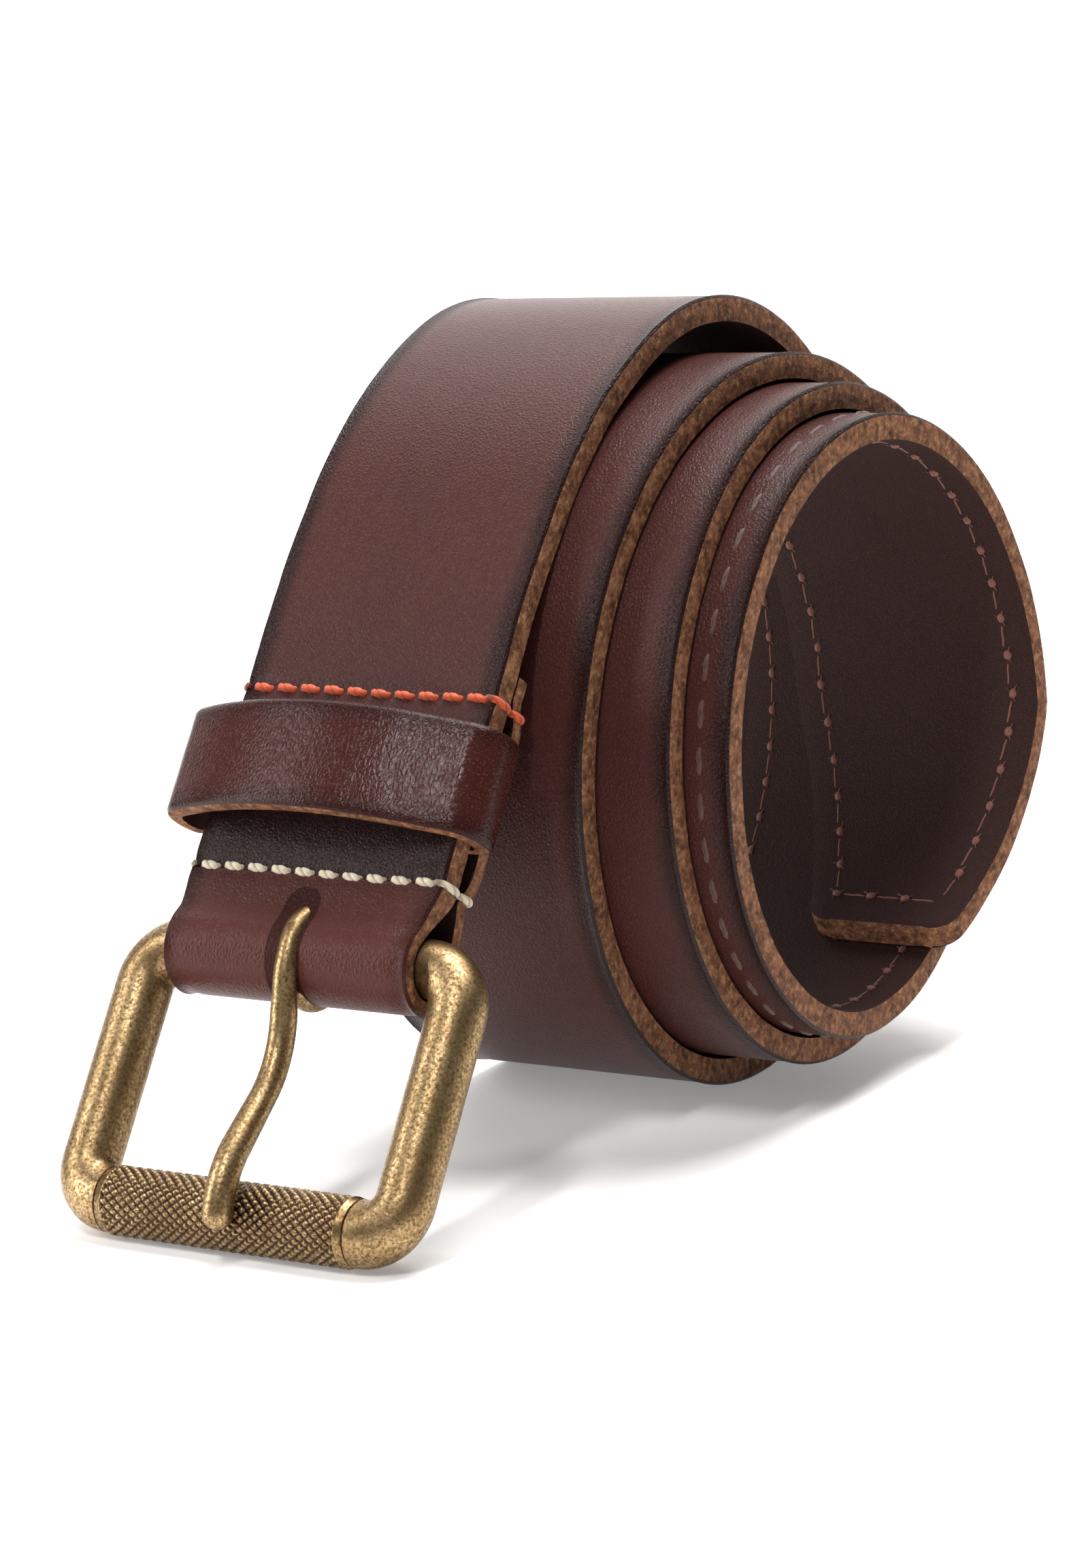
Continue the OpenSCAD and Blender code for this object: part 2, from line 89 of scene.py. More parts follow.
class BELT_PG_leather(bpy.types.PropertyGroup):
    grain: colour("Grain", "#452522", "Colour of the waxed outer face")
    # grain_dark_and_shade also colours painted shade: the slot wall and the keeper's shadow on the strap
    grain_dark_and_shade: colour("Grain, dark", "#180d0d", "Colour in the pores and along the burnished margins")
    keeper: colour("Keeper", "#381b19", "Colour of the keeper's outer face")
    speckle: colour("Speckle", "#7d3f33", "Colour of the fine reddish specks")
    cut: colour("Cut edge", "#83563e", "Colour of the raw cut edges")
    fibre: colour("Fibre", "#b98d60", "Colour of the pale fibres in the cut edges")
    flesh: colour("Flesh side", "#2c1b18", "Colour of the inner face")
    pebble: bpy.props.FloatProperty(
        name="Pebble", description="Size of one pebble of the grain", default=0.6 * MM, subtype="DISTANCE",
        unit="LENGTH")
    wave: bpy.props.FloatProperty(
        name="Edge wave", description="How far the cut edges wander", default=0.15 * MM, subtype="DISTANCE",
        unit="LENGTH")


class BELT_PG_thread(bpy.types.PropertyGroup):
    orange: colour("Upper seam", "#dc5a2c", "Colour of the seam above the keeper")
    pale: colour("Lower seam", "#dccfb6", "Colour of the seam below the keeper")
    brown: colour("Tail", "#54362a", "Colour of the stitches along the tail")
    rust: colour("Tail, back", "#7f4e40", "Colour of the knots along the tail's flesh side")


class BELT_PG_brass(bpy.types.PropertyGroup):
    bright: colour("Rubbed brass", "#d6ba8e", "Colour where the antique finish is rubbed through")
    aged: colour("Aged brass", "#745a38", "Colour of the antique finish")
    patina: colour("Patina", "#2b1a1a", "Colour of the dark film in the low spots")
    knurl_pitch: bpy.props.FloatProperty(
        name="Knurl pitch", description="Length of one diamond along the roller", default=1.55 * MM,
        subtype="DISTANCE", unit="LENGTH")
    knurl_depth: bpy.props.FloatProperty(
        name="Knurl depth", description="Depth of the grooves", default=0.32 * MM, subtype="DISTANCE",
        unit="LENGTH")


class BELT_PG_stage(bpy.types.PropertyGroup):
    floor: colour("Floor", "#f1efed", "Colour of the floor and the backdrop")
    key: bpy.props.FloatProperty(name="Overhead light", description="Power of the overhead softbox",
                                 default=9.5, unit="POWER")
    fill: bpy.props.FloatProperty(name="Side light", description="Power of the side softbox", default=1.9,
                                  unit="POWER")
    sky: bpy.props.FloatProperty(name="Surround", description="Strength of the even surround light",
                                 default=0.09)
    back: bpy.props.FloatProperty(name="Backdrop light", description="Power of the backdrop light",
                                  default=22, unit="POWER")
    glow: bpy.props.FloatProperty(name="Paper glow", description="Light that the backlit paper gives",
                                  default=0.22)


# ---------------------------------------------------------------- small tools
def add_node(tree, kind, inputs=None, **settings):
    """Adds one node with its settings. An input is a value or another node's output."""
    node = tree.nodes.new(kind)
    for key, value in settings.items():
        setattr(node, key, value)
    for key, value in (inputs or {}).items():
        if isinstance(value, bpy.types.NodeSocket):
            tree.links.new(value, node.inputs[key])
        else:
            node.inputs[key].default_value = value
    return node


def smooth(x):
    x = min(1, max(0, x))
    return x * x * (3 - 2 * x)


def new_piece(name, points, faces, materials, face_materials=None, uvs=None, sharp=35):
    """A mesh object from points in millimetres, with its materials and its own map in metres."""
    mesh = bpy.data.meshes.new(name)
    mesh.from_pydata([Vector(p) * MM for p in points], [], faces)
    for m in materials:
        mesh.materials.append(m)
    if face_materials:
        mesh.polygons.foreach_set("material_index", face_materials)
    if uvs:
        layer = mesh.uv_layers.new(name="Skin")
        layer.data.foreach_set("uv", [c for face in uvs for uv in face for c in (uv[0] * MM, uv[1] * MM)])
    mesh.validate()
    mesh.update()
    mesh.shade_smooth()
    mesh.set_sharp_from_angle(angle=math.radians(sharp))
    piece = bpy.data.objects.new(name, mesh)
    bpy.context.scene.collection.objects.link(piece)
    return piece


def finish_piece(piece, body, slot, *nodes):
    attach(piece, body)
    if nodes:
        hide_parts(*nodes)


def plain_mesh(piece):
    """Turns a piece's modifiers into its mesh."""
    bpy.context.view_layer.update()
    mesh = bpy.data.meshes.new_from_object(
        piece.evaluated_get(bpy.context.evaluated_depsgraph_get()), preserve_all_data_layers=True,
        depsgraph=bpy.context.evaluated_depsgraph_get())
    old = piece.data
    piece.modifiers.clear()
    piece.data = mesh
    mesh.name = old.name
    bpy.data.meshes.remove(old)
    return piece


def loft(name, rings, materials, ring_uv=None, kinds=None, closed=False, sharp=35):
    """Skins rings of points into a closed solid. kinds gives each strip round the ring its material."""
    count = len(rings[0])
    faces, face_materials, uvs = [], [], []
    last = len(rings) if closed else len(rings) - 1
    for i in range(last):
        k = (i + 1) % len(rings)
        for j in range(count):
            n = (j + 1) % count
            faces.append((i * count + j, i * count + n, k * count + n, k * count + j))
            face_materials.append(kinds[j] if kinds else 0)
            if ring_uv:
                u0, u1 = ring_uv[0][i], ring_uv[0][i + 1]
                v0, v1 = ring_uv[1][j], ring_uv[1][j + 1]
                uvs.append(((u0, v0), (u0, v1), (u1, v1), (u1, v0)))
    if not closed:
        for i, order in ((0, range(count - 1, -1, -1)), (len(rings) - 1, range(count))):
            faces.append(tuple(i * count + j for j in order))
            face_materials.append(kinds[-1] if kinds else 0)
            if ring_uv:
                middle = ring_uv[0][i]
                uvs.append([(middle + 2 * math.sin(j), ring_uv[1][j]) for j in order])
    points = [p for ring in rings for p in ring]
    return new_piece(name, points, faces, materials, face_materials, uvs or None, sharp)


# ---------------------------------------------------------------- the strap's route
def stretch(length, bend, steps, fine=1):
    """A length of the route in its coarse steps, each cut into finer ones."""
    return [(length / steps / fine, bend / steps / fine)] * (steps * fine)


def walk(start, moves):
    """Places [angle, y, z, distance] along a chain of circular moves."""
    places = [start]
    for length, bend in moves:
        a, y, z, d = places[-1]
        half = math.radians(bend / 2)
        chord = length if bend == 0 else length * math.sin(half) / half
        mid = math.radians(a) + half
        places.append((a + bend, y + chord * math.sin(mid), z + chord * math.cos(mid), d + length))
    return places


WRAP_R, CREASE_R = BAR_R + 0.17, 5
CREASE_D = math.hypot(PALE_UP, CREASE_R)
FOLD_BEND = math.degrees(math.asin((WRAP_R + CREASE_R) / CREASE_D) - math.atan(CREASE_R / PALE_UP))
FOLD_RUN = math.sqrt(CREASE_D ** 2 - (WRAP_R + CREASE_R) ** 2)
WRAP_TURN = 180 + 2 * FOLD_BEND
FOLD_MID = (TURNBACK - PALE_UP + CREASE_R * math.radians(FOLD_BEND) + FOLD_RUN
            + WRAP_R * math.radians(WRAP_TURN) / 2)


def coil_move(angle, step, fine):
    r = COIL_R - COIL_PITCH * (angle - 90) / 360 - STRAP_T
    r += 3 * COIL_OVAL * math.cos(math.radians(2 * (angle - OVAL_LEAN)))
    return [(r * math.radians(step) / fine, step / fine)] * fine


def strap_route():
    crease = stretch(CREASE_R * math.radians(FOLD_BEND), -FOLD_BEND, 4, 2)
    run = stretch(FOLD_RUN, 0, 3, 4)
    moves = stretch(TURNBACK - PALE_UP, 0, 24, 3) + crease + run
    moves += stretch(WRAP_R * math.radians(WRAP_TURN), WRAP_TURN, 24, 2) + run + crease
    moves += stretch(STRAIGHT_UP, 0, 8, 8)
    for length, bend, steps in ARCH:
        moves += stretch(length, bend, steps, 2)
    moves += stretch(RUN_IN, 180 - LEAN - sum(a[1] for a in ARCH), 12, 2)
    for angle in range(180, TIP_ANGLE - 45, 5):
        moves += coil_move(angle + 2.5, 5, 2)
    for i in range(36):
        moves += coil_move(TIP_ANGLE - 45 + 1.25 * (i + 0.5), 1.25, 3 if i > 30 else 1)
    lean = math.radians(LEAN)
    start = (LEAN - 180, TURNBACK * math.sin(lean), TURNBACK * math.cos(lean), 0)
    return walk(start, moves)


ROUTE = strap_route()
STRAP_LEN = ROUTE[-1][3]


def through(table, u):
    """A smooth curve through a table's values."""
    i, f = math.floor(u), u - math.floor(u)
    a, b, c, d = (table[min(len(table) - 1, max(0, i + k))] for k in (-1, 0, 1, 2))
    return (2 * b + (c - a) * f + (2 * a - 5 * b + 4 * c - d) * f ** 2 + (3 * b - a - 3 * c + d) * f ** 3) / 2


def sideways(angle):
    return COIL_SHIFT[0] if angle < 90 else through(COIL_SHIFT, (angle - 90) / 180)


def off_fold(d):
    return smooth((abs(d - FOLD_MID) - 9) / 7)


def thickness(d):
    full = UNDER_T if d < FOLD_MID else STRAP_T
    return FOLD_T + (full - FOLD_T) * off_fold(d)


def tip_half_width(from_tip):
    taper, corner = max(0, 1 - from_tip / TIP_TAPER), max(0, 1 - from_tip / TIP_CORNER)
    return STRAP_W / 2 - (STRAP_W - TIP_W) / 2 * taper ** 1.15 - TIP_CORNER * (1 - math.sqrt(1 - corner ** 2))


def half_width(d):
    return tip_half_width(max(0, STRAP_LEN - d)) - 0.8 * (1 - off_fold(d))


def under_bow(up):
    """How far the turned-back end stands off, to leave room for the keeper's back run."""
    gap = KEEPER_BACK + 2 * KEEPER_PLAY
    return 0.1 + (gap - 0.1) * smooth((up - 8.6) / 4.6) * (1 - smooth((up - 33.8) / 4.4))


def stand_off(d):
    end = TURNBACK - PALE_UP + CREASE_R
    return under_bow(TURNBACK - d) * smooth((end - d) / CREASE_R) if d < end else 0


def on_strap(x, up, out):
    """A place on the straight buckle end: across, up from the bar, and out from between the layers."""
    s, c = math.sin(math.radians(LEAN)), math.cos(math.radians(LEAN))
    return BAR + Vector((x, -out * c + up * s, out * s + up * c))


def in_buckle(x, along, out):
    """A place in the buckle: across, from the bar towards the roller, and out at the front."""
    s, c = math.sin(math.radians(FRAME_LEAN)), math.cos(math.radians(FRAME_LEAN))
    return BAR + Vector((x, -out * c - along * s, out * s - along * c))


def place_at(d):
    """The route's place at a distance along it, between its stored places."""
    low, high = 0, len(ROUTE) - 1
    while high - low > 1:
        mid = (low + high) // 2
        low, high = (mid, high) if ROUTE[mid][3] <= d else (low, mid)
    a, b = ROUTE[low], ROUTE[high]
    f = (d - a[3]) / (b[3] - a[3])
    return [a[k] + (b[k] - a[k]) * f for k in range(4)]


def on_coil(from_tip, x, depth):
    """A place on the tail and its two directions: along the strap and out of its grain side."""
    a, y, z, _ = place_at(STRAP_LEN - from_tip)
    r = math.radians(a)
    out = Vector((0, -math.cos(r), math.sin(r)))
    return BAR + Vector((sideways(a) + x, y, z)) + out * depth, Vector((0, math.sin(r), math.cos(r))), out


# ---------------------------------------------------------------- leather
def leather_face(name, settings, base, dark, fleck, gloss, margin_and_shadow, relief):
    """Full-grain cowhide, drum-dyed and waxed: small soft pebbles with darker pores, and a broken sheen."""
    material = bpy.data.materials.new(name)
    material.use_nodes = True
    tree = material.node_tree
    tree.nodes.clear()
    place = add_node(tree, "ShaderNodeUVMap", uv_map="Skin").outputs["UV"]
    pebble = settings.pebble
    warp = add_node(tree, "ShaderNodeTexNoise", {"Vector": place, "Scale": 0.5 / pebble, "Detail": 2.0})
    warped = add_node(tree, "ShaderNodeMix", {0: 0.35 * pebble / MM * 0.0011, 4: place,
                                              5: warp.outputs["Color"]},
                      data_type="VECTOR")
    cells = add_node(tree, "ShaderNodeTexVoronoi", {"Vector": warped.outputs[1], "Scale": 1 / pebble},
                     feature="DISTANCE_TO_EDGE")
    ridge = add_node(tree, "ShaderNodeMapRange", {"Value": cells.outputs["Distance"], "From Max": 0.32})
    fine = add_node(tree, "ShaderNodeTexNoise", {"Vector": place, "Scale": 3.2 / pebble, "Detail": 3.0})
    broad = add_node(tree, "ShaderNodeTexNoise", {"Vector": place, "Scale": 85.0, "Detail": 5.0,
                                                  "Roughness": 0.65})
    # from_edge: distance to the cut edges, and on the strap zero across the painted keeper shadow
    edge = add_node(tree, "ShaderNodeAttribute", attribute_name="from_edge")
    ragged = add_node(tree, "ShaderNodeMath", {0: broad.outputs["Fac"], 1: -3.2, 2: edge.outputs["Fac"]},
                      operation="MULTIPLY_ADD")
    ragged = add_node(tree, "ShaderNodeMath", {0: ragged.outputs[0], 1: 1.6}, operation="ADD")
    near = add_node(tree, "ShaderNodeMapRange", {"Value": ragged.outputs[0], "From Min": 0.4, "From Max": 4.6,
                                                 "To Min": 1.0, "To Max": 0.0},
                                                 interpolation_type="SMOOTHSTEP")
    pores = add_node(tree, "ShaderNodeMath", {0: 1.0, 1: ridge.outputs["Result"]}, operation="SUBTRACT")
    pores = add_node(tree, "ShaderNodeMath", {0: pores.outputs[0], 1: 0.3}, operation="MULTIPLY")
    # Darker along the burnished margins, and on the strap painted shadow under the keeper
    margins = add_node(tree, "ShaderNodeMath", {0: near.outputs["Result"], 1: margin_and_shadow}, operation="MULTIPLY")
    patches = add_node(tree, "ShaderNodeMapRange", {"Value": broad.outputs["Fac"], "From Min": 0.35,
                                                    "From Max": 0.7,
                                                    "To Max": 0.35})
    shade = add_node(tree, "ShaderNodeMath", {0: pores.outputs[0], 1: margins.outputs[0]},
                     operation="MAXIMUM")
    shade = add_node(tree, "ShaderNodeMath", {0: shade.outputs[0], 1: patches.outputs["Result"]},
                     operation="MAXIMUM")
    body = add_node(tree, "ShaderNodeMix", {0: shade.outputs[0], 6: (*base, 1), 7: (*dark, 1)},
                    data_type="RGBA")
    flecks = add_node(tree, "ShaderNodeMapRange", {"Value": fine.outputs["Fac"], "From Min": 0.56,
                                                   "From Max": 0.74,
                                                   "To Max": 0.75})
    tint = add_node(tree, "ShaderNodeMix", {0: flecks.outputs["Result"], 6: body.outputs[2], 7: (*fleck, 1)},
                    data_type="RGBA")
    # Painted sheen: the colour turns lighter and redder where worn is high, near the strap's fold
    worn = add_node(tree, "ShaderNodeAttribute", attribute_name="worn")
    warm = add_node(tree, "ShaderNodeMath", {0: worn.outputs["Fac"], 1: 0.5}, operation="MULTIPLY")
    tint = add_node(tree, "ShaderNodeMix", {0: warm.outputs[0], 6: tint.outputs[2],
                                            7: (*linear("#5a2a22"), 1)},
                    data_type="RGBA")
    rough = add_node(tree, "ShaderNodeMapRange", {"Value": fine.outputs["Fac"], "From Min": 0.3,
                                                  "From Max": 0.7,
                                                  "To Min": gloss, "To Max": gloss + 0.16})
    height = add_node(tree, "ShaderNodeMath", {0: ridge.outputs["Result"], 1: fine.outputs["Fac"]},
                      operation="ADD")
    bump = add_node(tree, "ShaderNodeBump", {"Height": height.outputs[0], "Distance": relief * MM,
                                             "Strength": 0.9})
    shader = add_node(tree, "ShaderNodeBsdfPrincipled", {
        "Base Color": tint.outputs[2], "Roughness": rough.outputs["Result"], "Normal": bump.outputs["Normal"],
        "IOR": 1.5, "Specular IOR Level": 0.17})
    add_node(tree, "ShaderNodeOutputMaterial", {"Surface": shader.outputs[0]})
    return material


def leather_cut(settings):
    """Raw cut edge of veg-tanned cowhide: a matt felt of fibres, with pale tufts and dark pits."""
    material = bpy.data.materials.new("cowhide_raw_cut_edge")
    material.use_nodes = True
    tree = material.node_tree
    tree.nodes.clear()
    place = add_node(tree, "ShaderNodeTexCoord").outputs["Object"]
    tufts = add_node(tree, "ShaderNodeTexNoise", {"Vector": place, "Scale": 1000.0, "Detail": 4.0,
                                                  "Roughness": 0.7})
    lumps = add_node(tree, "ShaderNodeTexNoise", {"Vector": place, "Scale": 420.0, "Detail": 3.0})
    pale = add_node(tree, "ShaderNodeMapRange", {"Value": tufts.outputs["Fac"], "From Min": 0.5,
                                                 "From Max": 0.72,
                                                 "To Max": 0.7})
    dark = add_node(tree, "ShaderNodeMapRange", {"Value": tufts.outputs["Fac"], "From Min": 0.46,
                                                 "From Max": 0.3,
                                                 "To Max": 0.8})
    patch = add_node(tree, "ShaderNodeMapRange", {"Value": lumps.outputs["Fac"], "From Min": 0.35,
                                                  "From Max": 0.65})
    base = add_node(tree, "ShaderNodeMix", {0: patch.outputs["Result"], 6: (*linear("#5a3a28"), 1),
                                            7: (*settings.cut, 1)}, data_type="RGBA")
    low = add_node(tree, "ShaderNodeMix", {0: dark.outputs["Result"], 6: base.outputs[2],
                                           7: (*settings.grain_dark_and_shade, 1)}, data_type="RGBA")
    full = add_node(tree, "ShaderNodeMix", {0: pale.outputs["Result"], 6: low.outputs[2],
                                            7: (*settings.fibre, 1)}, data_type="RGBA")
    bump = add_node(tree, "ShaderNodeBump", {"Height": tufts.outputs["Fac"], "Distance": 0.35 * MM,
                                             "Strength": 1.0})
    shader = add_node(tree, "ShaderNodeBsdfPrincipled", {
        "Base Color": full.outputs[2], "Roughness": 0.78, "Normal": bump.outputs["Normal"], "IOR": 1.45,
        "Specular IOR Level": 0.2})
    add_node(tree, "ShaderNodeOutputMaterial", {"Surface": shader.outputs[0]})
    return material


def strap_leathers():
    """The strap's finishes, made once: grain face, raw cut edge, flesh face and the near-black patch at the
    slot, painted shade.
    """
    names = ("cowhide_waxed_grain", "cowhide_raw_cut_edge", "cowhide_flesh_side", "cowhide_dyed_slot_wall")
    if names[0] not in bpy.data.materials:
        s = bpy.context.scene.belt_leather
        leather_face(names[0], s, s.grain, s.grain_dark_and_shade, s.speckle, 0.27, 1.0, 0.05)
        leather_cut(s)
        leather_face(names[2], s, s.flesh, s.grain_dark_and_shade, s.speckle, 0.62, 0.3, 0.05)
        # The slot wall: near-black all over, painted shade inside the slot
        leather_face(names[3], s, s.grain_dark_and_shade, s.grain_dark_and_shade, s.grain_dark_and_shade, 0.7, 0.0, 0.05)
    return [bpy.data.materials[n] for n in names]


GRAIN_POINTS, EDGE_POINTS, FLESH_POINTS = 34, 7, 20


def strap_section(d):
    """The strap's outline across: points [x, height above the flesh side, distance from the edge].

    They run anticlockwise from the grain side's left corner, with a small burr along each grain corner.
    """
    wave = bpy.context.scene.belt_leather.wave / MM
    left = half_width(d) + wave * noise.noise(Vector((d / 9, 3.1,
                                                      0))) + 0.4 * wave * noise.noise(Vector((d / 2.1, 7, 0)))
    right = half_width(d) + wave * noise.noise(Vector((d / 9, 8.7,
                                                     0))) + 0.4 * wave * noise.noise(Vector((d / 2.1, 1, 0)))
    t = thickness(d)
    section = []
    for i in range(GRAIN_POINTS + 1):
        u = 1 - math.cos(math.pi * i / GRAIN_POINTS)
        x = -left + u / 2 * (left + right)
        edge = min(x + left, right - x)
        burr = 0.16 * math.exp(-((edge - 0.35) / 0.25) ** 2) - 0.14 * math.exp(-((edge - 1.6) / 0.9) ** 2)
        drop = 0.3 * max(0, 1 - edge / 0.35) ** 2
        section.append((x, t + burr - drop, edge))
    for i in range(1, EDGE_POINTS):
        f = i / EDGE_POINTS
        bulge = 0.16 * math.sin(math.pi * f) + 0.1 * noise.noise(Vector((d / 1.3, 4 * f, 5)))
        section.append((right + bulge - 0.05, (t - 0.3) * (1 - f) + 0.22 * f, 0))
    for i in range(FLESH_POINTS + 1):
        x = right - i / FLESH_POINTS * (left + right)
        edge = min(x + left, right - x)
        section.append((x, 0.22 * max(0, 1 - edge / 0.8) ** 2, edge))
    for i in range(1, EDGE_POINTS):
        f = i / EDGE_POINTS
        bulge = 0.16 * math.sin(math.pi * f) + 0.1 * noise.noise(Vector((d / 1.3, 4 * f, 9)))
        section.append((-left - bulge + 0.05, 0.22 * (1 - f) + (t - 0.3) * f, 0))
    return section


def above_pale_seam(d):
    """How far a place on the front layer is above the pale seam."""
    return (d - FOLD_MID) - (WRAP_R * math.radians(WRAP_TURN) / 2
                             + FOLD_RUN + CREASE_R * math.radians(FOLD_BEND))


def from_dark_line(d, edge):
    """How far a place on the grain side is from a dark part: the burnished edges and the painted shadow at
    the keeper.
    """
    up = above_pale_seam(d)
    if d < FOLD_MID or up > KEEPER_SHADOW + STRAP_W:
        return edge
    return min(edge, max(0, -3 * up, up - KEEPER_SHADOW))


def seam_dent(p, x):
    """How far a seam pulls the front layer's grain side in."""
    if p[3] < FOLD_MID:
        return 0
    up = above_pale_seam(p[3])
    dent = 0
    for seam in (0, ORANGE_UP - PALE_UP):
        dent += 0.38 * math.exp(-((up - seam) / 1.0) ** 2) * (0.75 + 0.25 * math.cos(2 * math.pi * x / 3.8))
    return dent


class BELT_OT_strap(bpy.types.Operator):
    """Makes the leather strap: folded round the bar, arched over and wound to its stitched tip"""
    bl_idname = "belt.strap"
    bl_label = "Strap"

    def execute(self, context):
        rings, edges, worn = [], [], []
        for p in ROUTE:
            r = math.radians(p[0])
            out = Vector((0, -math.cos(r), math.sin(r)))
            base = BAR + Vector((sideways(p[0]), p[1], p[2])) + out * stand_off(p[3])
            ring = []
            # near_fold sets the strength of the painted sheen at the fold
            near_fold = math.exp(-((p[3] - FOLD_MID) / 11) ** 2)
            for i, (x, h, edge) in enumerate(strap_section(p[3])):
                if i <= GRAIN_POINTS:
                    h -= seam_dent(p, x)
                ring.append(base + Vector((x, 0, 0)) + out * h)
                # On the grain side these distances also carry the painted keeper shadow, from from_dark_line
                edges.append(from_dark_line(p[3], edge) if i <= GRAIN_POINTS else edge)
                worn.append(near_fold)
            rings.append(ring)
        count = len(rings[0])
        kinds = [0] * GRAIN_POINTS + [1] * EDGE_POINTS + [2] * FLESH_POINTS + [1] * EDGE_POINTS
        middle = strap_section(200)
        across = [0]
        for j in range(count):
            a, b = middle[j], middle[(j + 1) % count]
            across.append(across[-1] + math.hypot(b[0] - a[0], b[1] - a[1]))
        piece = loft("belt_strap", rings, strap_leathers(), ([p[3] for p in ROUTE], across), kinds)
        for name, values in (("from_edge", edges), ("worn", worn)):
            piece.data.attributes.new(name, "FLOAT", "POINT").data.foreach_set("value", values)
        cut_openings(piece)
        finish_piece(piece, "strap", "strap_leather", "strap")
        return {"FINISHED"}


def cutter(name, outline, origin, across, up, through_axis, reach, finish):
    """A prism to cut with: an outline in the plane of across and up, pushed both ways along through_axis."""
    count = len(outline)
    points = [origin + across * u + up * v + through_axis * s * reach for s in (-1, 1) for u, v in outline]
    faces = [tuple(range(count - 1, -1, -1)), tuple(range(count, 2 * count))]
    faces += [(i, (i + 1) % count, (i + 1) % count + count, i + count) for i in range(count)]
    piece = new_piece(name, points, faces, strap_leathers(), [finish] * len(faces),
                      [[(0, 0)] * len(f) for f in faces])
    piece.data.update()
    return piece


def cut_openings(strap):
    """Crosses the strap with a solid at the tongue's slot and at each adjustment hole.

    Known fault: these solids are inside out, so nothing is cut. The strap keeps its leather, and each solid
    leaves only a patch of its own finish and doubled surfaces inside.
    """
    lean = math.radians(LEAN)
    up, out = Vector((0, math.sin(lean), math.cos(lean))), Vector((0, -math.cos(lean), math.sin(lean)))
    half = SLOT_W / 2
    outline = [(half, -12)] + [(half * math.cos(a), SLOT_TOP + half * math.sin(a))
                               for a in (math.pi * k / 16 for k in range(17))] + [(-half, -12)]
    # Finish 3 is the slot wall, painted shade
    cutters = [cutter("slot_cutter", outline, BAR.copy(), Vector((1, 0, 0)), up, out * -1, 12, 3)]
    for i in range(HOLE_COUNT):
        place, along, normal = on_coil(HOLE_START + i * HOLE_PITCH, 0, STRAP_T / 2)
        circle = [(HOLE_D / 2 * math.cos(2 * math.pi * k / 32), HOLE_D / 2 * math.sin(2 * math.pi * k / 32))
                  for k in range(32)]
        cutters.append(cutter(f"hole_cutter_{i}", circle, place, Vector((1, 0, 0)), along, normal * -1, 2.02,
                              1))
    for c in cutters:
        change = strap.modifiers.new(c.name, "BOOLEAN")
        change.operation, change.solver, change.object = "DIFFERENCE", "MANIFOLD", c
    plain_mesh(strap)
    for c in cutters:
        bpy.data.objects.remove(c)
    strap.data.shade_smooth()
    strap.data.set_sharp_from_angle(angle=math.radians(35))


# ---------------------------------------------------------------- keeper
def rounded_outline(corners, steps):
    """Points [x, out, normal angle] of a rounded outline, from corners [x, out, radius], anticlockwise."""
    points = []
    for i, (x, y, r) in enumerate(corners):
        a, c = corners[i - 1], corners[(i + 1) % len(corners)]
        h1, h2 = math.atan2(y - a[1], x - a[0]), math.atan2(c[1] - y, c[0] - x)
        turn = (h2 - h1 + 3 * math.pi) % (2 * math.pi) - math.pi
        back = r * math.tan(turn / 2)
        cx = x - back * math.cos(h1) - r * math.sin(h1)
        cy = y - back * math.sin(h1) + r * math.cos(h1)
        for k in range(steps + 1):
            h = h1 + turn * k / steps
            points.append((cx + r * math.sin(h), cy - r * math.cos(h), h))
    return points


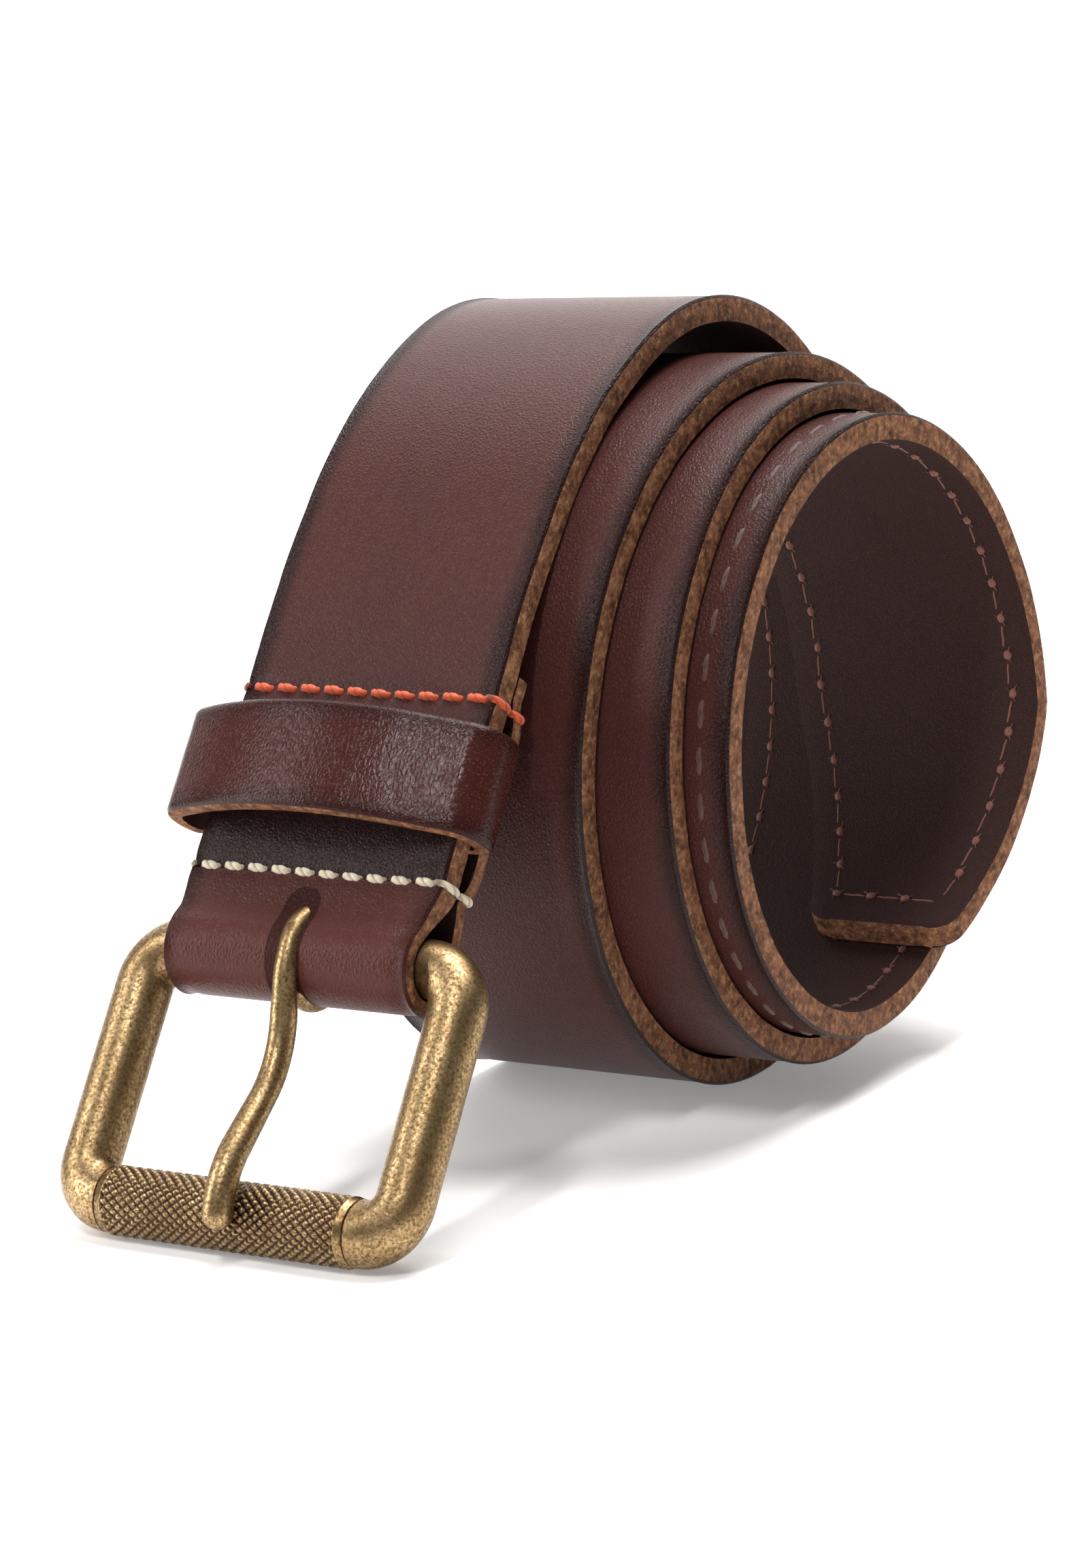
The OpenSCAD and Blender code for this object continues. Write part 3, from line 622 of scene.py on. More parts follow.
class BELT_OT_keeper(bpy.types.Operator):
    """Makes the keeper: a leather loop with cut edges, its thinner back run butted between the layers"""
    bl_idname = "belt.keeper"
    bl_label = "Keeper"

    def execute(self, context):
        half = STRAP_W / 2
        corners = [(half + 0.9, -KEEPER_PLAY, 1), (half + 0.9, 4.1, 3), (-4.4, 13, 45),
                   (-half - 4.2, 4.2, 2.5), (-half - 4.2, -KEEPER_PLAY, 1.8)]
        loop = rounded_outline(corners, 14)
        start = (BUTT_X + 0.15, -KEEPER_PLAY, 0.0)
        end = (BUTT_X, -KEEPER_PLAY, 2 * math.pi)
        stations = [start]
        for target in loop + [end]:
            a = stations[-1]
            gap = math.hypot(target[0] - a[0], target[1] - a[1])
            turn = (target[2] - a[2] + math.pi) % (2 * math.pi) - math.pi
            pieces = max(1, round(gap / 0.8))
            for k in range(1, pieces + 1):
                f = k / pieces
                stations.append((a[0] + (target[0] - a[0]) * f, a[1] + (target[1] - a[1]) * f,
                                 a[2] + turn * f))
        rings, edges, along = [], [], [0]
        for i, (x, out, h) in enumerate(stations):
            if i:
                along.append(along[-1] + math.hypot(x - stations[i - 1][0], out - stations[i - 1][1]))
            normal = (math.sin(h), -math.cos(h))
            floor = -KEEPER_PLAY - KEEPER_BACK
            wall = KEEPER_T
            if normal[1] < -0.05 and out + normal[1] * wall < floor:
                wall = (floor - out) / normal[1]
            ring = []
            for s, w, edge in keeper_section(along[-1], wall, x):
                p = (x + normal[0] * w, max(floor, out + normal[1] * w))
                ring.append(on_strap(p[0], KEEPER_AT + s, p[1]))
                edges.append(edge)
            rings.append(ring)
        count = len(rings[0])
        kinds = [0] * KEEPER_FACE + [1] * 4 + [2] * KEEPER_FACE + [1] * 4
        across = [j * (2 * KEEPER_W + 2 * KEEPER_T) / count for j in range(count + 1)]
        settings = context.scene.belt_leather
        grain = leather_face("cowhide_glazed_grain", settings, settings.keeper, settings.grain_dark_and_shade,
                             settings.speckle, 0.15, 0.9, 0.03)
        cut, flesh = strap_leathers()[1:3]
        piece = loft("belt_keeper", rings, [grain, cut, flesh], (along, across), kinds)
        # The keeper takes an even warm tint all over, a quarter of the fold sheen's strength
        for name, values in (("from_edge", edges), ("worn", [0.25] * len(edges))):
            piece.data.attributes.new(name, "FLOAT", "POINT").data.foreach_set("value", values)
        finish_piece(piece, "keeper", "keeper_leather", "keeper_loop")
        return {"FINISHED"}


KEEPER_FACE = 16


def keeper_section(d, wall, x):
    """The keeper's outline across: points [along its width, height above its inside, edge distance]."""
    points = []
    for i in range(KEEPER_FACE + 1):
        s = KEEPER_W * (1 - math.cos(math.pi * i / KEEPER_FACE)) / 2
        edge = min(s, KEEPER_W - s)
        drop = 0.35 * max(0, 1 - edge / 0.7) ** 2
        crease = 0.1 * noise.noise(Vector((d / 1.1, s / 7, 2))) * smooth((x - 2) / 6) * smooth(wall - 1.6)
        points.append((s, wall - drop + crease + 0.08 * noise.noise(Vector((d / 6, s / 5, 4))), edge))
    for f in (0.25, 0.5, 0.75):
        points.append((KEEPER_W + 0.12 * math.sin(math.pi * f), wall * (1 - f), 0))
    for i in range(KEEPER_FACE + 1):
        s = KEEPER_W * (1 - i / KEEPER_FACE)
        points.append((s, 0.0, min(s, KEEPER_W - s)))
    for f in (0.25, 0.5, 0.75):
        points.append((-0.12 * math.sin(math.pi * f), wall * f, 0))
    return points


# ---------------------------------------------------------------- brass
def brass(name, settings, polish, patina):
    """Die-cast brass, antiqued and relieved: dark film in the low spots, rubbed bright on the high ones."""
    material = bpy.data.materials.new(name)
    material.use_nodes = True
    tree = material.node_tree
    tree.nodes.clear()
    place = add_node(tree, "ShaderNodeTexCoord").outputs["Object"]
    mottle = add_node(tree, "ShaderNodeTexNoise", {"Vector": place, "Scale": 2300.0, "Detail": 4.0,
                                                   "Roughness": 0.7})
    broad = add_node(tree, "ShaderNodeTexNoise", {"Vector": place, "Scale": 110.0, "Detail": 3.0})
    hollow = add_node(tree, "ShaderNodeAttribute", attribute_name="hollow")
    rub = add_node(tree, "ShaderNodeMapRange", {"Value": mottle.outputs["Fac"], "From Min": 0.4,
                                                "From Max": 0.7})
    wear = add_node(tree, "ShaderNodeMapRange", {"Value": broad.outputs["Fac"], "From Min": 0.35,
                                                 "From Max": 0.65,
                                                 "To Min": 0.45, "To Max": 1.0})
    amount = add_node(tree, "ShaderNodeMath", {0: rub.outputs["Result"], 1: wear.outputs["Result"]},
                      operation="MULTIPLY")
    tone = add_node(tree, "ShaderNodeMix", {0: amount.outputs[0], 6: (*settings.aged, 1),
                                            7: (*settings.bright, 1)},
                    data_type="RGBA")
    film = add_node(tree, "ShaderNodeMapRange", {"Value": mottle.outputs["Fac"], "From Min": 0.42,
                                                 "From Max": 0.3,
                                                 "To Max": patina})
    low = add_node(tree, "ShaderNodeMath", {0: film.outputs["Result"], 1: hollow.outputs["Fac"]},
                   operation="MAXIMUM")
    full = add_node(tree, "ShaderNodeMix", {0: low.outputs[0], 6: tone.outputs[2], 7: (*settings.patina, 1)},
                    data_type="RGBA")
    rough = add_node(tree, "ShaderNodeMapRange", {"Value": mottle.outputs["Fac"], "From Min": 0.3,
                                                  "From Max": 0.7,
                                                  "To Min": polish + 0.24, "To Max": polish + 0.04})
    bump = add_node(tree, "ShaderNodeBump", {"Height": mottle.outputs["Fac"], "Distance": 0.06 * MM,
                                             "Strength": 0.6})
    shader = add_node(tree, "ShaderNodeBsdfPrincipled", {
        "Base Color": full.outputs[2], "Metallic": 1.0, "Roughness": rough.outputs["Result"],
        "Normal": bump.outputs["Normal"]})
    add_node(tree, "ShaderNodeOutputMaterial", {"Surface": shader.outputs[0]})
    return material


def tube(centres, radii, sides, cap_round):
    """Rings of a wire through centres, with rounded ends of cap_round times its radius."""
    rings = []
    count = len(centres)
    normal = None
    for i, c in enumerate(centres):
        ahead = (centres[min(i + 1, count - 1)] - centres[max(i - 1, 0)]).normalized()
        if normal is None:
            normal = ahead.orthogonal().normalized()
        normal = (normal - ahead * normal.dot(ahead)).normalized()
        side = ahead.cross(normal)
        ring = [(c, ahead, normal, side, radii[i])]
        rings.append(ring[0])
    solid = []
    for end, sign in ((0, -1), (count - 1, 1)):
        c, ahead, normal, side, r = rings[end]
        caps = []
        for k in range(1, 7):
            a = math.pi / 2 * k / 6.4
            caps.append((c + ahead * sign * r * cap_round * math.sin(a), ahead, normal, side,
                         r * (1 - cap_round) + r * cap_round * math.cos(a)))
        solid.append(caps)
    rings = list(reversed(solid[0])) + rings + solid[1]
    return [[c + (normal * math.cos(a) + side * math.sin(a)) * r
             for a in (2 * math.pi * k / sides for k in range(sides))] for c, ahead, normal, side, r in rings]


def join_shells(name, shells, materials, sharp=35):
    """One piece from several closed shells, each a list of rings."""
    points, faces = [], []
    for rings in shells:
        first, count = len(points), len(rings[0])
        points += [p for ring in rings for p in ring]
        for i in range(len(rings) - 1):
            for j in range(count):
                n = (j + 1) % count
                faces.append(tuple(first + v for v in (
                    i * count + j, i * count + n, (i + 1) * count + n, (i + 1) * count + j)))
        faces.append(tuple(first + j for j in range(count - 1, -1, -1)))
        faces.append(tuple(first + (len(rings) - 1) * count + j for j in range(count)))
    return new_piece(name, points, faces, materials, sharp=sharp)


class BELT_OT_frame(bpy.types.Operator):
    """Makes the buckle's frame: one bent bar, thicker at two shoulders, with the roller's axle between"""
    bl_idname = "belt.frame"
    bl_label = "Buckle frame"

    def execute(self, context):
        side, low = FRAME_W / 2, -FRAME_H
        half = []
        for k in range(9):
            half.append((AXLE_HALF + (side - LOWER_CORNER_R - AXLE_HALF) * k / 8, low))
        for k in range(1, 13):
            a = -math.pi / 2 + math.pi / 2 * k / 12
            half.append((side - LOWER_CORNER_R + LOWER_CORNER_R * math.cos(a),
                         low + LOWER_CORNER_R + LOWER_CORNER_R * math.sin(a)))
        bottom, top = low + LOWER_CORNER_R, -UPPER_CORNER_R
        half += [(side, bottom + (top - bottom) * k / 20) for k in range(1, 20)]
        for k in range(13):
            a = math.pi / 2 * k / 12
            half.append((side - UPPER_CORNER_R + UPPER_CORNER_R * math.cos(a),
                         top + UPPER_CORNER_R * math.sin(a)))
        bar = [(side - UPPER_CORNER_R - 2 * (side - UPPER_CORNER_R) * k / 30, 0) for k in range(1, 30)]
        path = half + bar + [(-x, z) for x, z in reversed(half)]
        centres = [in_buckle(x, -z, 0) for x, z in path]
        travelled, radii = [0], []
        for a, b in zip(path, path[1:]):
            travelled.append(travelled[-1] + math.hypot(b[0] - a[0], b[1] - a[1]))
        for d in travelled:
            end = min(d, travelled[-1] - d)
            radii.append(SHOULDER_R - (SHOULDER_R - BAR_R) * smooth(end / 9))
        axle = [in_buckle(-AXLE_HALF - 1 + (2 * AXLE_HALF + 2) * k / 4, FRAME_H, 0) for k in range(5)]
        settings = context.scene.belt_brass
        piece = join_shells("buckle_frame_cast", [
            flat_ended(centres, radii, 48), flat_ended(axle, [AXLE_R] * 5, 32)],
            [brass("brass_cast_antiqued", settings, 0.27, 0.45)], sharp=50)
        finish_piece(piece, "frame", "frame_brass", "buckle_frame")
        return {"FINISHED"}


def flat_ended(centres, radii, sides):
    """Rings of a wire whose flat ends have a small rounded rim."""
    rings = tube(centres, radii, sides, 0.0)[6:-6]
    for end, inner in ((0, 1), (-1, -2)):
        centre = centres[end]
        away = (centres[end] - centres[inner]).normalized()
        rim = [centre + (p - centre) * 0.9 for p in rings[end]]
        rings[end] = [p - away * 0.35 for p in rings[end]]
        if end == 0:
            rings.insert(0, rim)
        else:
            rings.append(rim)
    return rings


def knurl_tree():
    """Presses a diamond knurl into a cylinder that lies along X: grooves both ways round, at one pitch."""
    tree = bpy.data.node_groups.new("Diamond Knurl", "GeometryNodeTree")
    face = tree.interface
    face.new_socket("Geometry", in_out="INPUT", socket_type="NodeSocketGeometry")
    for name, kind in (("Pitch", "Float"), ("Depth", "Float"), ("Radius", "Float"), ("Plain End", "Float"),
                       ("Centre", "Vector"), ("Finish", "Material")):
        face.new_socket(name, in_out="INPUT", socket_type="NodeSocket" + kind)
    face.new_socket("Geometry", in_out="OUTPUT", socket_type="NodeSocketGeometry")
    start = add_node(tree, "NodeGroupInput")
    where = add_node(tree, "ShaderNodeVectorMath", {0: add_node(tree, "GeometryNodeInputPosition").outputs[0],
                                                    1: start.outputs["Centre"]}, operation="SUBTRACT")
    axes = add_node(tree, "ShaderNodeSeparateXYZ", {0: where.outputs[0]})
    turn = add_node(tree, "ShaderNodeMath", {0: axes.outputs["Z"], 1: axes.outputs["Y"]}, operation="ARCTAN2")
    around = add_node(tree, "ShaderNodeMath", {0: turn.outputs[0], 1: KNURL_ROUND / math.tau},
                      operation="MULTIPLY")
    along = add_node(tree, "ShaderNodeMath", {0: axes.outputs["X"], 1: start.outputs["Pitch"]},
                     operation="DIVIDE")
    ways = []
    for operation in ("ADD", "SUBTRACT"):
        mixed = add_node(tree, "ShaderNodeMath", {0: around.outputs[0], 1: along.outputs[0]},
                         operation=operation)
        ways.append(add_node(tree, "ShaderNodeMath", {0: mixed.outputs[0], 1: 0.5}, operation="PINGPONG"))
    near = add_node(tree, "ShaderNodeMath", {0: ways[0].outputs[0], 1: ways[1].outputs[0]},
                    operation="MINIMUM")
    groove = add_node(tree, "ShaderNodeMapRange", {"Value": near.outputs[0], "From Min": 0.03,
                                                   "From Max": 0.3,
                                                   "To Min": 1.0, "To Max": 0.0})
    radial = add_node(tree, "ShaderNodeCombineXYZ", {1: axes.outputs["Y"], 2: axes.outputs["Z"]})
    reach = add_node(tree, "ShaderNodeVectorMath", {0: radial.outputs[0]}, operation="LENGTH")
    outer = add_node(tree, "ShaderNodeMath", {0: start.outputs["Radius"], 1: 0.0001}, operation="SUBTRACT")
    skin = add_node(tree, "ShaderNodeMath", {0: reach.outputs["Value"], 1: outer.outputs[0]},
                    operation="GREATER_THAN")
    span = add_node(tree, "ShaderNodeMath", {0: axes.outputs["X"]}, operation="ABSOLUTE")
    inside = add_node(tree, "ShaderNodeMath", {0: span.outputs[0], 1: start.outputs["Plain End"]},
                      operation="LESS_THAN")
    here = add_node(tree, "ShaderNodeMath", {0: skin.outputs[0], 1: inside.outputs[0]}, operation="MULTIPLY")
    dip = add_node(tree, "ShaderNodeMath", {0: groove.outputs["Result"], 1: here.outputs[0]},
                   operation="MULTIPLY")
    down = add_node(tree, "ShaderNodeMath", {0: dip.outputs[0], 1: start.outputs["Depth"]},
                    operation="MULTIPLY")
    down = add_node(tree, "ShaderNodeMath", {0: down.outputs[0], 1: -1.0}, operation="MULTIPLY")
    inward = add_node(tree, "ShaderNodeVectorMath", {0: radial.outputs[0]}, operation="NORMALIZE")
    offset = add_node(tree, "ShaderNodeVectorMath", {0: inward.outputs[0], "Scale": down.outputs[0]},
                      operation="SCALE")
    kept = add_node(tree, "GeometryNodeStoreNamedAttribute", {
        "Geometry": start.outputs["Geometry"], "Name": "hollow", "Value": dip.outputs[0]},
        data_type="FLOAT", domain="POINT")
    moved = add_node(tree, "GeometryNodeSetPosition", {"Geometry": kept.outputs[0],
                                                       "Offset": offset.outputs[0]})
    real = add_node(tree, "GeometryNodeRealizeInstances", {0: moved.outputs[0]})
    dressed = add_node(tree, "GeometryNodeSetMaterial", {"Geometry": real.outputs[0],
                                                         "Material": start.outputs["Finish"]})
    add_node(tree, "NodeGroupOutput", {0: dressed.outputs[0]})
    return tree


def run_tree(piece, tree, values):
    """Runs a node tree on a piece with its named inputs set, and keeps the result as a plain mesh."""
    change = piece.modifiers.new(tree.name, "NODES")
    change.node_group = tree
    for item in tree.interface.items_tree:
        if item.in_out == "INPUT" and item.name in values:
            change[item.identifier] = values[item.name]
    return plain_mesh(piece)


class BELT_OT_roller(bpy.types.Operator):
    """Makes the knurled roller: a brass tube with a narrow plain collar at each end"""
    bl_idname = "belt.roller"
    bl_label = "Roller"

    def execute(self, context):
        settings = context.scene.belt_brass
        sides = 182
        profile = [(-ROLLER_HALF, AXLE_R + 0.05), (-ROLLER_HALF, ROLLER_R - 0.35),
                   (-ROLLER_HALF + 0.1, ROLLER_R - 0.2),
                   (-ROLLER_HALF + 0.8, ROLLER_R - 0.18), (-ROLLER_HALF + 0.95, ROLLER_R - 0.02)]
        steps = 224
        reach = ROLLER_HALF - 1.1
        profile += [(-reach + 2 * reach * k / steps, ROLLER_R) for k in range(steps + 1)]
        profile += [(-x, r) for x, r in reversed(profile[:5])]
        rings = []
        for x, r in profile:
            centre = in_buckle(x, FRAME_H, 0)
            rings.append([centre + Vector((0, math.cos(a), math.sin(a))) * r
                          for a in (math.tau * k / sides for k in range(sides))])
        finish = brass("brass_knurled_antiqued", settings, 0.24, 0.75)
        piece = loft("buckle_roller_knurled", rings, [finish], closed=True, sharp=40)
        run_tree(piece, knurl_tree(), {
            "Pitch": settings.knurl_pitch, "Depth": settings.knurl_depth, "Radius": ROLLER_R * MM,
            "Plain End": (ROLLER_HALF - 1.1) * MM, "Centre": in_buckle(0, FRAME_H, 0) * MM, "Finish": finish})
        piece.data.shade_smooth()
        piece.data.set_sharp_from_angle(angle=math.radians(60))
        finish_piece(piece, "roller", "roller_brass", "buckle_roller")
        return {"FINISHED"}


def tongue_path():
    """The tongue's middle line from its eye's free end: points [along, out, diameter]."""
    points = []
    for k in range(60, -1, -1):
        a = math.radians(EYE_TURN * k / 60)
        points.append((EYE_R * -math.sin(a), EYE_R * math.cos(a), TONGUE_D))
    neck = [(0.5, 0, TONGUE_D, TONGUE_D), (6, -22, TONGUE_D, TONGUE_D), (2.5, 0, TONGUE_D, TONGUE_MID_D),
            (12, 43, TONGUE_MID_D, TONGUE_MID_D), (7.99874, 0, TONGUE_MID_D, TONGUE_TIP_D),
            (9.2, -38.5, TONGUE_TIP_D, TONGUE_TIP_D)]
    place = (0, 0, 0, 0)
    for length, bend, d1, d2 in neck:
        places = walk(place, stretch(length, bend, 10))
        for k, p in enumerate(places[1:], 1):
            points.append((p[2], EYE_R + p[1], d1 + (d2 - d1) * k / 10))
        place = places[-1]
    return points


class BELT_OT_tongue(bpy.types.Operator):
    """Makes the tongue: one round wire, with an eye round the bar and a dip before it meets the roller"""
    bl_idname = "belt.tongue"
    bl_label = "Tongue"

    def execute(self, context):
        slant = math.radians(TONGUE_SLANT)
        path = tongue_path()
        centres = [in_buckle(TONGUE_X + along * math.sin(slant), along * math.cos(slant), out)
                   for along, out, _ in path]
        rings = tube(centres, [d / 2 for _, _, d in path], 36, 1.0)
        piece = join_shells("buckle_tongue_wire", [rings],
                            [brass("brass_wire_antiqued", context.scene.belt_brass, 0.25, 0.4)], sharp=60)
        finish_piece(piece, "tongue", "tongue_brass", "buckle_tongue")
        return {"FINISHED"}


class BELT_OT_staple(bpy.types.Operator):
    """Gives the keeper's staple its bright plated steel"""
    bl_idname = "belt.staple"
    bl_label = "Keeper staple"

    def execute(self, context):
        # Steel wire, zinc plated: a cool grey with a fine spangle.
        material = bpy.data.materials.new("steel_wire_zinc_plated")
        material.use_nodes = True
        tree = material.node_tree
        tree.nodes.clear()
        place = add_node(tree, "ShaderNodeTexCoord").outputs["Object"]
        spangle = add_node(tree, "ShaderNodeTexNoise", {"Vector": place, "Scale": 2500.0, "Detail": 2.0})
        tone = add_node(tree, "ShaderNodeMix", {0: spangle.outputs["Fac"], 6: (*linear("#8f8d88"), 1),
                                                7: (*linear("#c9c7c1"), 1)}, data_type="RGBA")
        shader = add_node(tree, "ShaderNodeBsdfPrincipled", {
            "Base Color": tone.outputs[2], "Metallic": 1.0, "Roughness": 0.38})
        add_node(tree, "ShaderNodeOutputMaterial", {"Surface": shader.outputs[0]})
        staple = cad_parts["keeper_staple"]
        for k in range(max(1, len(staple.material_slots))):
            if k < len(staple.material_slots):
                staple.material_slots[k].material = material
            else:
                staple.data.materials.append(material)
        return {"FINISHED"}


# ---------------------------------------------------------------- threads
def thread_finish(name, base, shadow):
    """Waxed linen thread: a soft twisted strand with a low wax sheen, and painted shade between its plies and
    at the stitch ends where it goes into its holes.
    """
    material = bpy.data.materials.new(name)
    material.use_nodes = True
    tree = material.node_tree
    tree.nodes.clear()
    place = add_node(tree, "ShaderNodeTexCoord").outputs["Object"]
    fibre = add_node(tree, "ShaderNodeTexNoise", {"Vector": place, "Scale": 2600.0, "Detail": 3.0})
    groove = add_node(tree, "ShaderNodeAttribute", attribute_name="groove")
    mottled = add_node(tree, "ShaderNodeMapRange", {"Value": fibre.outputs["Fac"], "From Min": 0.35,
                                                    "From Max": 0.7,
                                                    "To Max": 0.35})
    dark = add_node(tree, "ShaderNodeMath", {0: groove.outputs["Fac"], 1: mottled.outputs["Result"]},
                    operation="MAXIMUM")
    tone = add_node(tree, "ShaderNodeMix", {0: dark.outputs[0], 6: (*base, 1), 7: (*shadow, 1)},
                    data_type="RGBA")
    bump = add_node(tree, "ShaderNodeBump", {"Height": fibre.outputs["Fac"], "Distance": 0.08 * MM,
                                             "Strength": 0.8})
    shader = add_node(tree, "ShaderNodeBsdfPrincipled", {
        "Base Color": tone.outputs[2], "Roughness": 0.62, "Normal": bump.outputs["Normal"], "IOR": 1.46,
        "Sheen Weight": 0.3, "Sheen Roughness": 0.4})
    add_node(tree, "ShaderNodeOutputMaterial", {"Surface": shader.outputs[0]})
    return material


def stitch_unit(name, sections, sides, turns, dip):
    """One stitch of unit length along X and unit girth: two plies twisted together, its ends going down."""
    rings, grooves = [], []
    for i in range(sections + 1):
        u = -1 + 2 * i / sections
        fall = dip * abs(u) ** 4
        girth = 0.5 * (1 - 0.4 * abs(u) ** 3)
        ring = []
        for k in range(sides):
            a = math.tau * k / sides
            ply = abs(math.cos(a - math.tau * turns * u / 2))
            r = girth * (0.72 + 0.28 * ply ** 0.6)
            ring.append(Vector((u / 2, r * math.cos(a), r * math.sin(a) - fall)) / MM)
            # groove: painted shade between the plies and at both ends, where the thread dips into its holes
            grooves.append(max(0.8 * (1 - ply) ** 1.4, smooth((abs(u) - 0.72) / 0.22)))
        rings.append(ring)
    piece = loft(name, rings, [], sharp=180)
    piece.data.attributes.new("groove", "FLOAT", "POINT").data.foreach_set("value", grooves)
    return piece


def stitch_tree():
    """Lays one stitch on each point, along and out as the point says, with a little seeded variation."""
    tree = bpy.data.node_groups.new("Stitches", "GeometryNodeTree")
    face = tree.interface
    face.new_socket("Geometry", in_out="INPUT", socket_type="NodeSocketGeometry")
    for name, kind in (("Stitch", "Object"), ("Thread", "Material"), ("Girth", "Float"),
                       ("Variation", "Float"),
                       ("Seed", "Int")):
        face.new_socket(name, in_out="INPUT", socket_type="NodeSocket" + kind)
    face.new_socket("Geometry", in_out="OUTPUT", socket_type="NodeSocketGeometry")
    start = add_node(tree, "NodeGroupInput")
    along = add_node(tree, "GeometryNodeInputNamedAttribute", {"Name": "along"}, data_type="FLOAT_VECTOR")
    out = add_node(tree, "GeometryNodeInputNamedAttribute", {"Name": "out"}, data_type="FLOAT_VECTOR")
    reach = add_node(tree, "GeometryNodeInputNamedAttribute", {"Name": "reach"}, data_type="FLOAT")
    first = add_node(tree, "FunctionNodeAlignRotationToVector", {"Vector": along.outputs[0]}, axis="X")
    second = add_node(tree, "FunctionNodeAlignRotationToVector", {
        "Rotation": first.outputs[0], "Vector": out.outputs[0]}, axis="Z", pivot_axis="X")
    least = add_node(tree, "ShaderNodeMath", {0: 1.0, 1: start.outputs["Variation"]}, operation="SUBTRACT")
    most = add_node(tree, "ShaderNodeMath", {0: 1.0, 1: start.outputs["Variation"]}, operation="ADD")
    change = add_node(tree, "FunctionNodeRandomValue", {2: least.outputs[0], 3: most.outputs[0],
                                                        "Seed": start.outputs["Seed"]}, data_type="FLOAT")
    girth = add_node(tree, "ShaderNodeMath", {0: change.outputs[1], 1: start.outputs["Girth"]},
                     operation="MULTIPLY")
    size = add_node(tree, "ShaderNodeCombineXYZ", {0: reach.outputs[0], 1: girth.outputs[0],
                                                   2: girth.outputs[0]})
    unit = add_node(tree, "GeometryNodeObjectInfo", {"Object": start.outputs["Stitch"]})
    laid = add_node(tree, "GeometryNodeInstanceOnPoints", {
        "Points": start.outputs["Geometry"], "Instance": unit.outputs["Geometry"],
        "Rotation": second.outputs[0],
        "Scale": size.outputs[0]})
    real = add_node(tree, "GeometryNodeRealizeInstances", {0: laid.outputs[0]})
    dressed = add_node(tree, "GeometryNodeSetMaterial", {"Geometry": real.outputs[0],
                                                         "Material": start.outputs["Thread"]})
    add_node(tree, "NodeGroupOutput", {0: dressed.outputs[0]})
    return tree


def lay_stitches(name, rows, unit, finish, girth, seed):
    """A piece of stitches from rows of [place, along, out, length], in millimetres."""
    mesh = bpy.data.meshes.new(name)
    mesh.from_pydata([r[0] * MM for r in rows], [], [])
    for k, attribute in ((1, "along"), (2, "out")):
        mesh.attributes.new(attribute, "FLOAT_VECTOR", "POINT").data.foreach_set(
            "vector", [c for r in rows for c in r[k]])
    mesh.attributes.new("reach", "FLOAT", "POINT").data.foreach_set("value", [r[3] * MM for r in rows])
    piece = bpy.data.objects.new(name, mesh)
    bpy.context.scene.collection.objects.link(piece)
    tree = bpy.data.node_groups.get("Stitches") or stitch_tree()
    run_tree(piece, tree, {"Stitch": unit, "Thread": finish, "Girth": girth * MM, "Variation": 0.06,
                           "Seed": seed})
    piece.data.shade_smooth()
    return piece


def seam_rows(up, height, edge_middle, edge_reach, facing):
    """One seam across the strap, whose last stitches turn over both edges."""
    lean = math.radians(LEAN)
    along_strap = Vector((0, math.sin(lean), math.cos(lean)))
    out = Vector((0, -math.cos(lean), math.sin(lean))) * facing
    pitch = (STRAP_W - 2) / SEAM_STITCHES
    rows = []
    for i in range(SEAM_STITCHES):
        x = -STRAP_W / 2 + 1 + (i + 0.5) * pitch
        slant = (Vector((1, 0, 0)) - along_strap * 0.1 * facing).normalized()
        rows.append((on_strap(x, up + 0.12 * math.sin(7 * i), height), slant, out, pitch - 0.2))
    for side in (-1, 1):
        rows.append((on_strap(side * (STRAP_W / 2 + 0.12), up, edge_middle), out, Vector((side, 0, 0)),
                     edge_reach))
    return rows


class BELT_OT_seams(bpy.types.Operator):
    """Sews the two seams across the buckle end, on the grain side and on the back"""
    bl_idname = "belt.seams"
    bl_label = "Seams"

    def execute(self, context):
        s = context.scene.belt_thread
        unit = stitch_unit("seam_stitch_unit", 28, 24, 1.1, 0.8)
        for colour_name, up, base, shadow in (
                ("orange", ORANGE_UP, s.orange, linear("#7e2a12")),
                ("pale", PALE_UP, s.pale, linear("#7d6f58"))):
            finish = thread_finish(f"linen_thread_waxed_{colour_name}", base, shadow)
            front = seam_rows(up, STRAP_T - 0.05, STRAP_T / 2, STRAP_T + 1.2, 1)
            behind = under_bow(up)
            back = seam_rows(up, -behind - UNDER_T - 0.05, -behind - UNDER_T / 2, UNDER_T + 1.1, -1)
            for place, rows, seed in (("top", front, 3), ("under", back, 5)):
                node = f"{colour_name}_{place}_thread"
                piece = lay_stitches(node + "_sewn", rows, unit, finish, SEAM_THREAD, seed)
                finish_piece(piece, "strap", f"{colour_name}_thread", node)
        bpy.data.objects.remove(unit)
        return {"FINISHED"}


def tail_rows(depth, gap, facing):
    """The tail's stitches down both edges and across its tip."""
    rows = []
    count = math.floor((TAIL_SEWN - TAIL_END_ROW) / TAIL_STITCH)
    for i in range(count):
        at = TAIL_END_ROW + (i + 0.5) * TAIL_STITCH
        for side in (-1, 1):
            place, along, out = on_coil(at, side * (tip_half_width(at) - TAIL_INSET), depth)
            lean = (tip_half_width(at + 1) - tip_half_width(at - 1)) / 2
            rows.append((place, (along - Vector((side * lean, 0, 0))).normalized(), out * facing,
                         TAIL_STITCH - gap))
    half = tip_half_width(TAIL_END_ROW) - TAIL_INSET
    across = round(2 * half / TAIL_STITCH)
    for i in range(across):
        place, along, out = on_coil(TAIL_END_ROW, -half + (i + 0.5) * 2 * half / across, depth)
        rows.append((place, Vector((1, 0, 0)), out * facing, 2 * half / across - gap))
    return rows


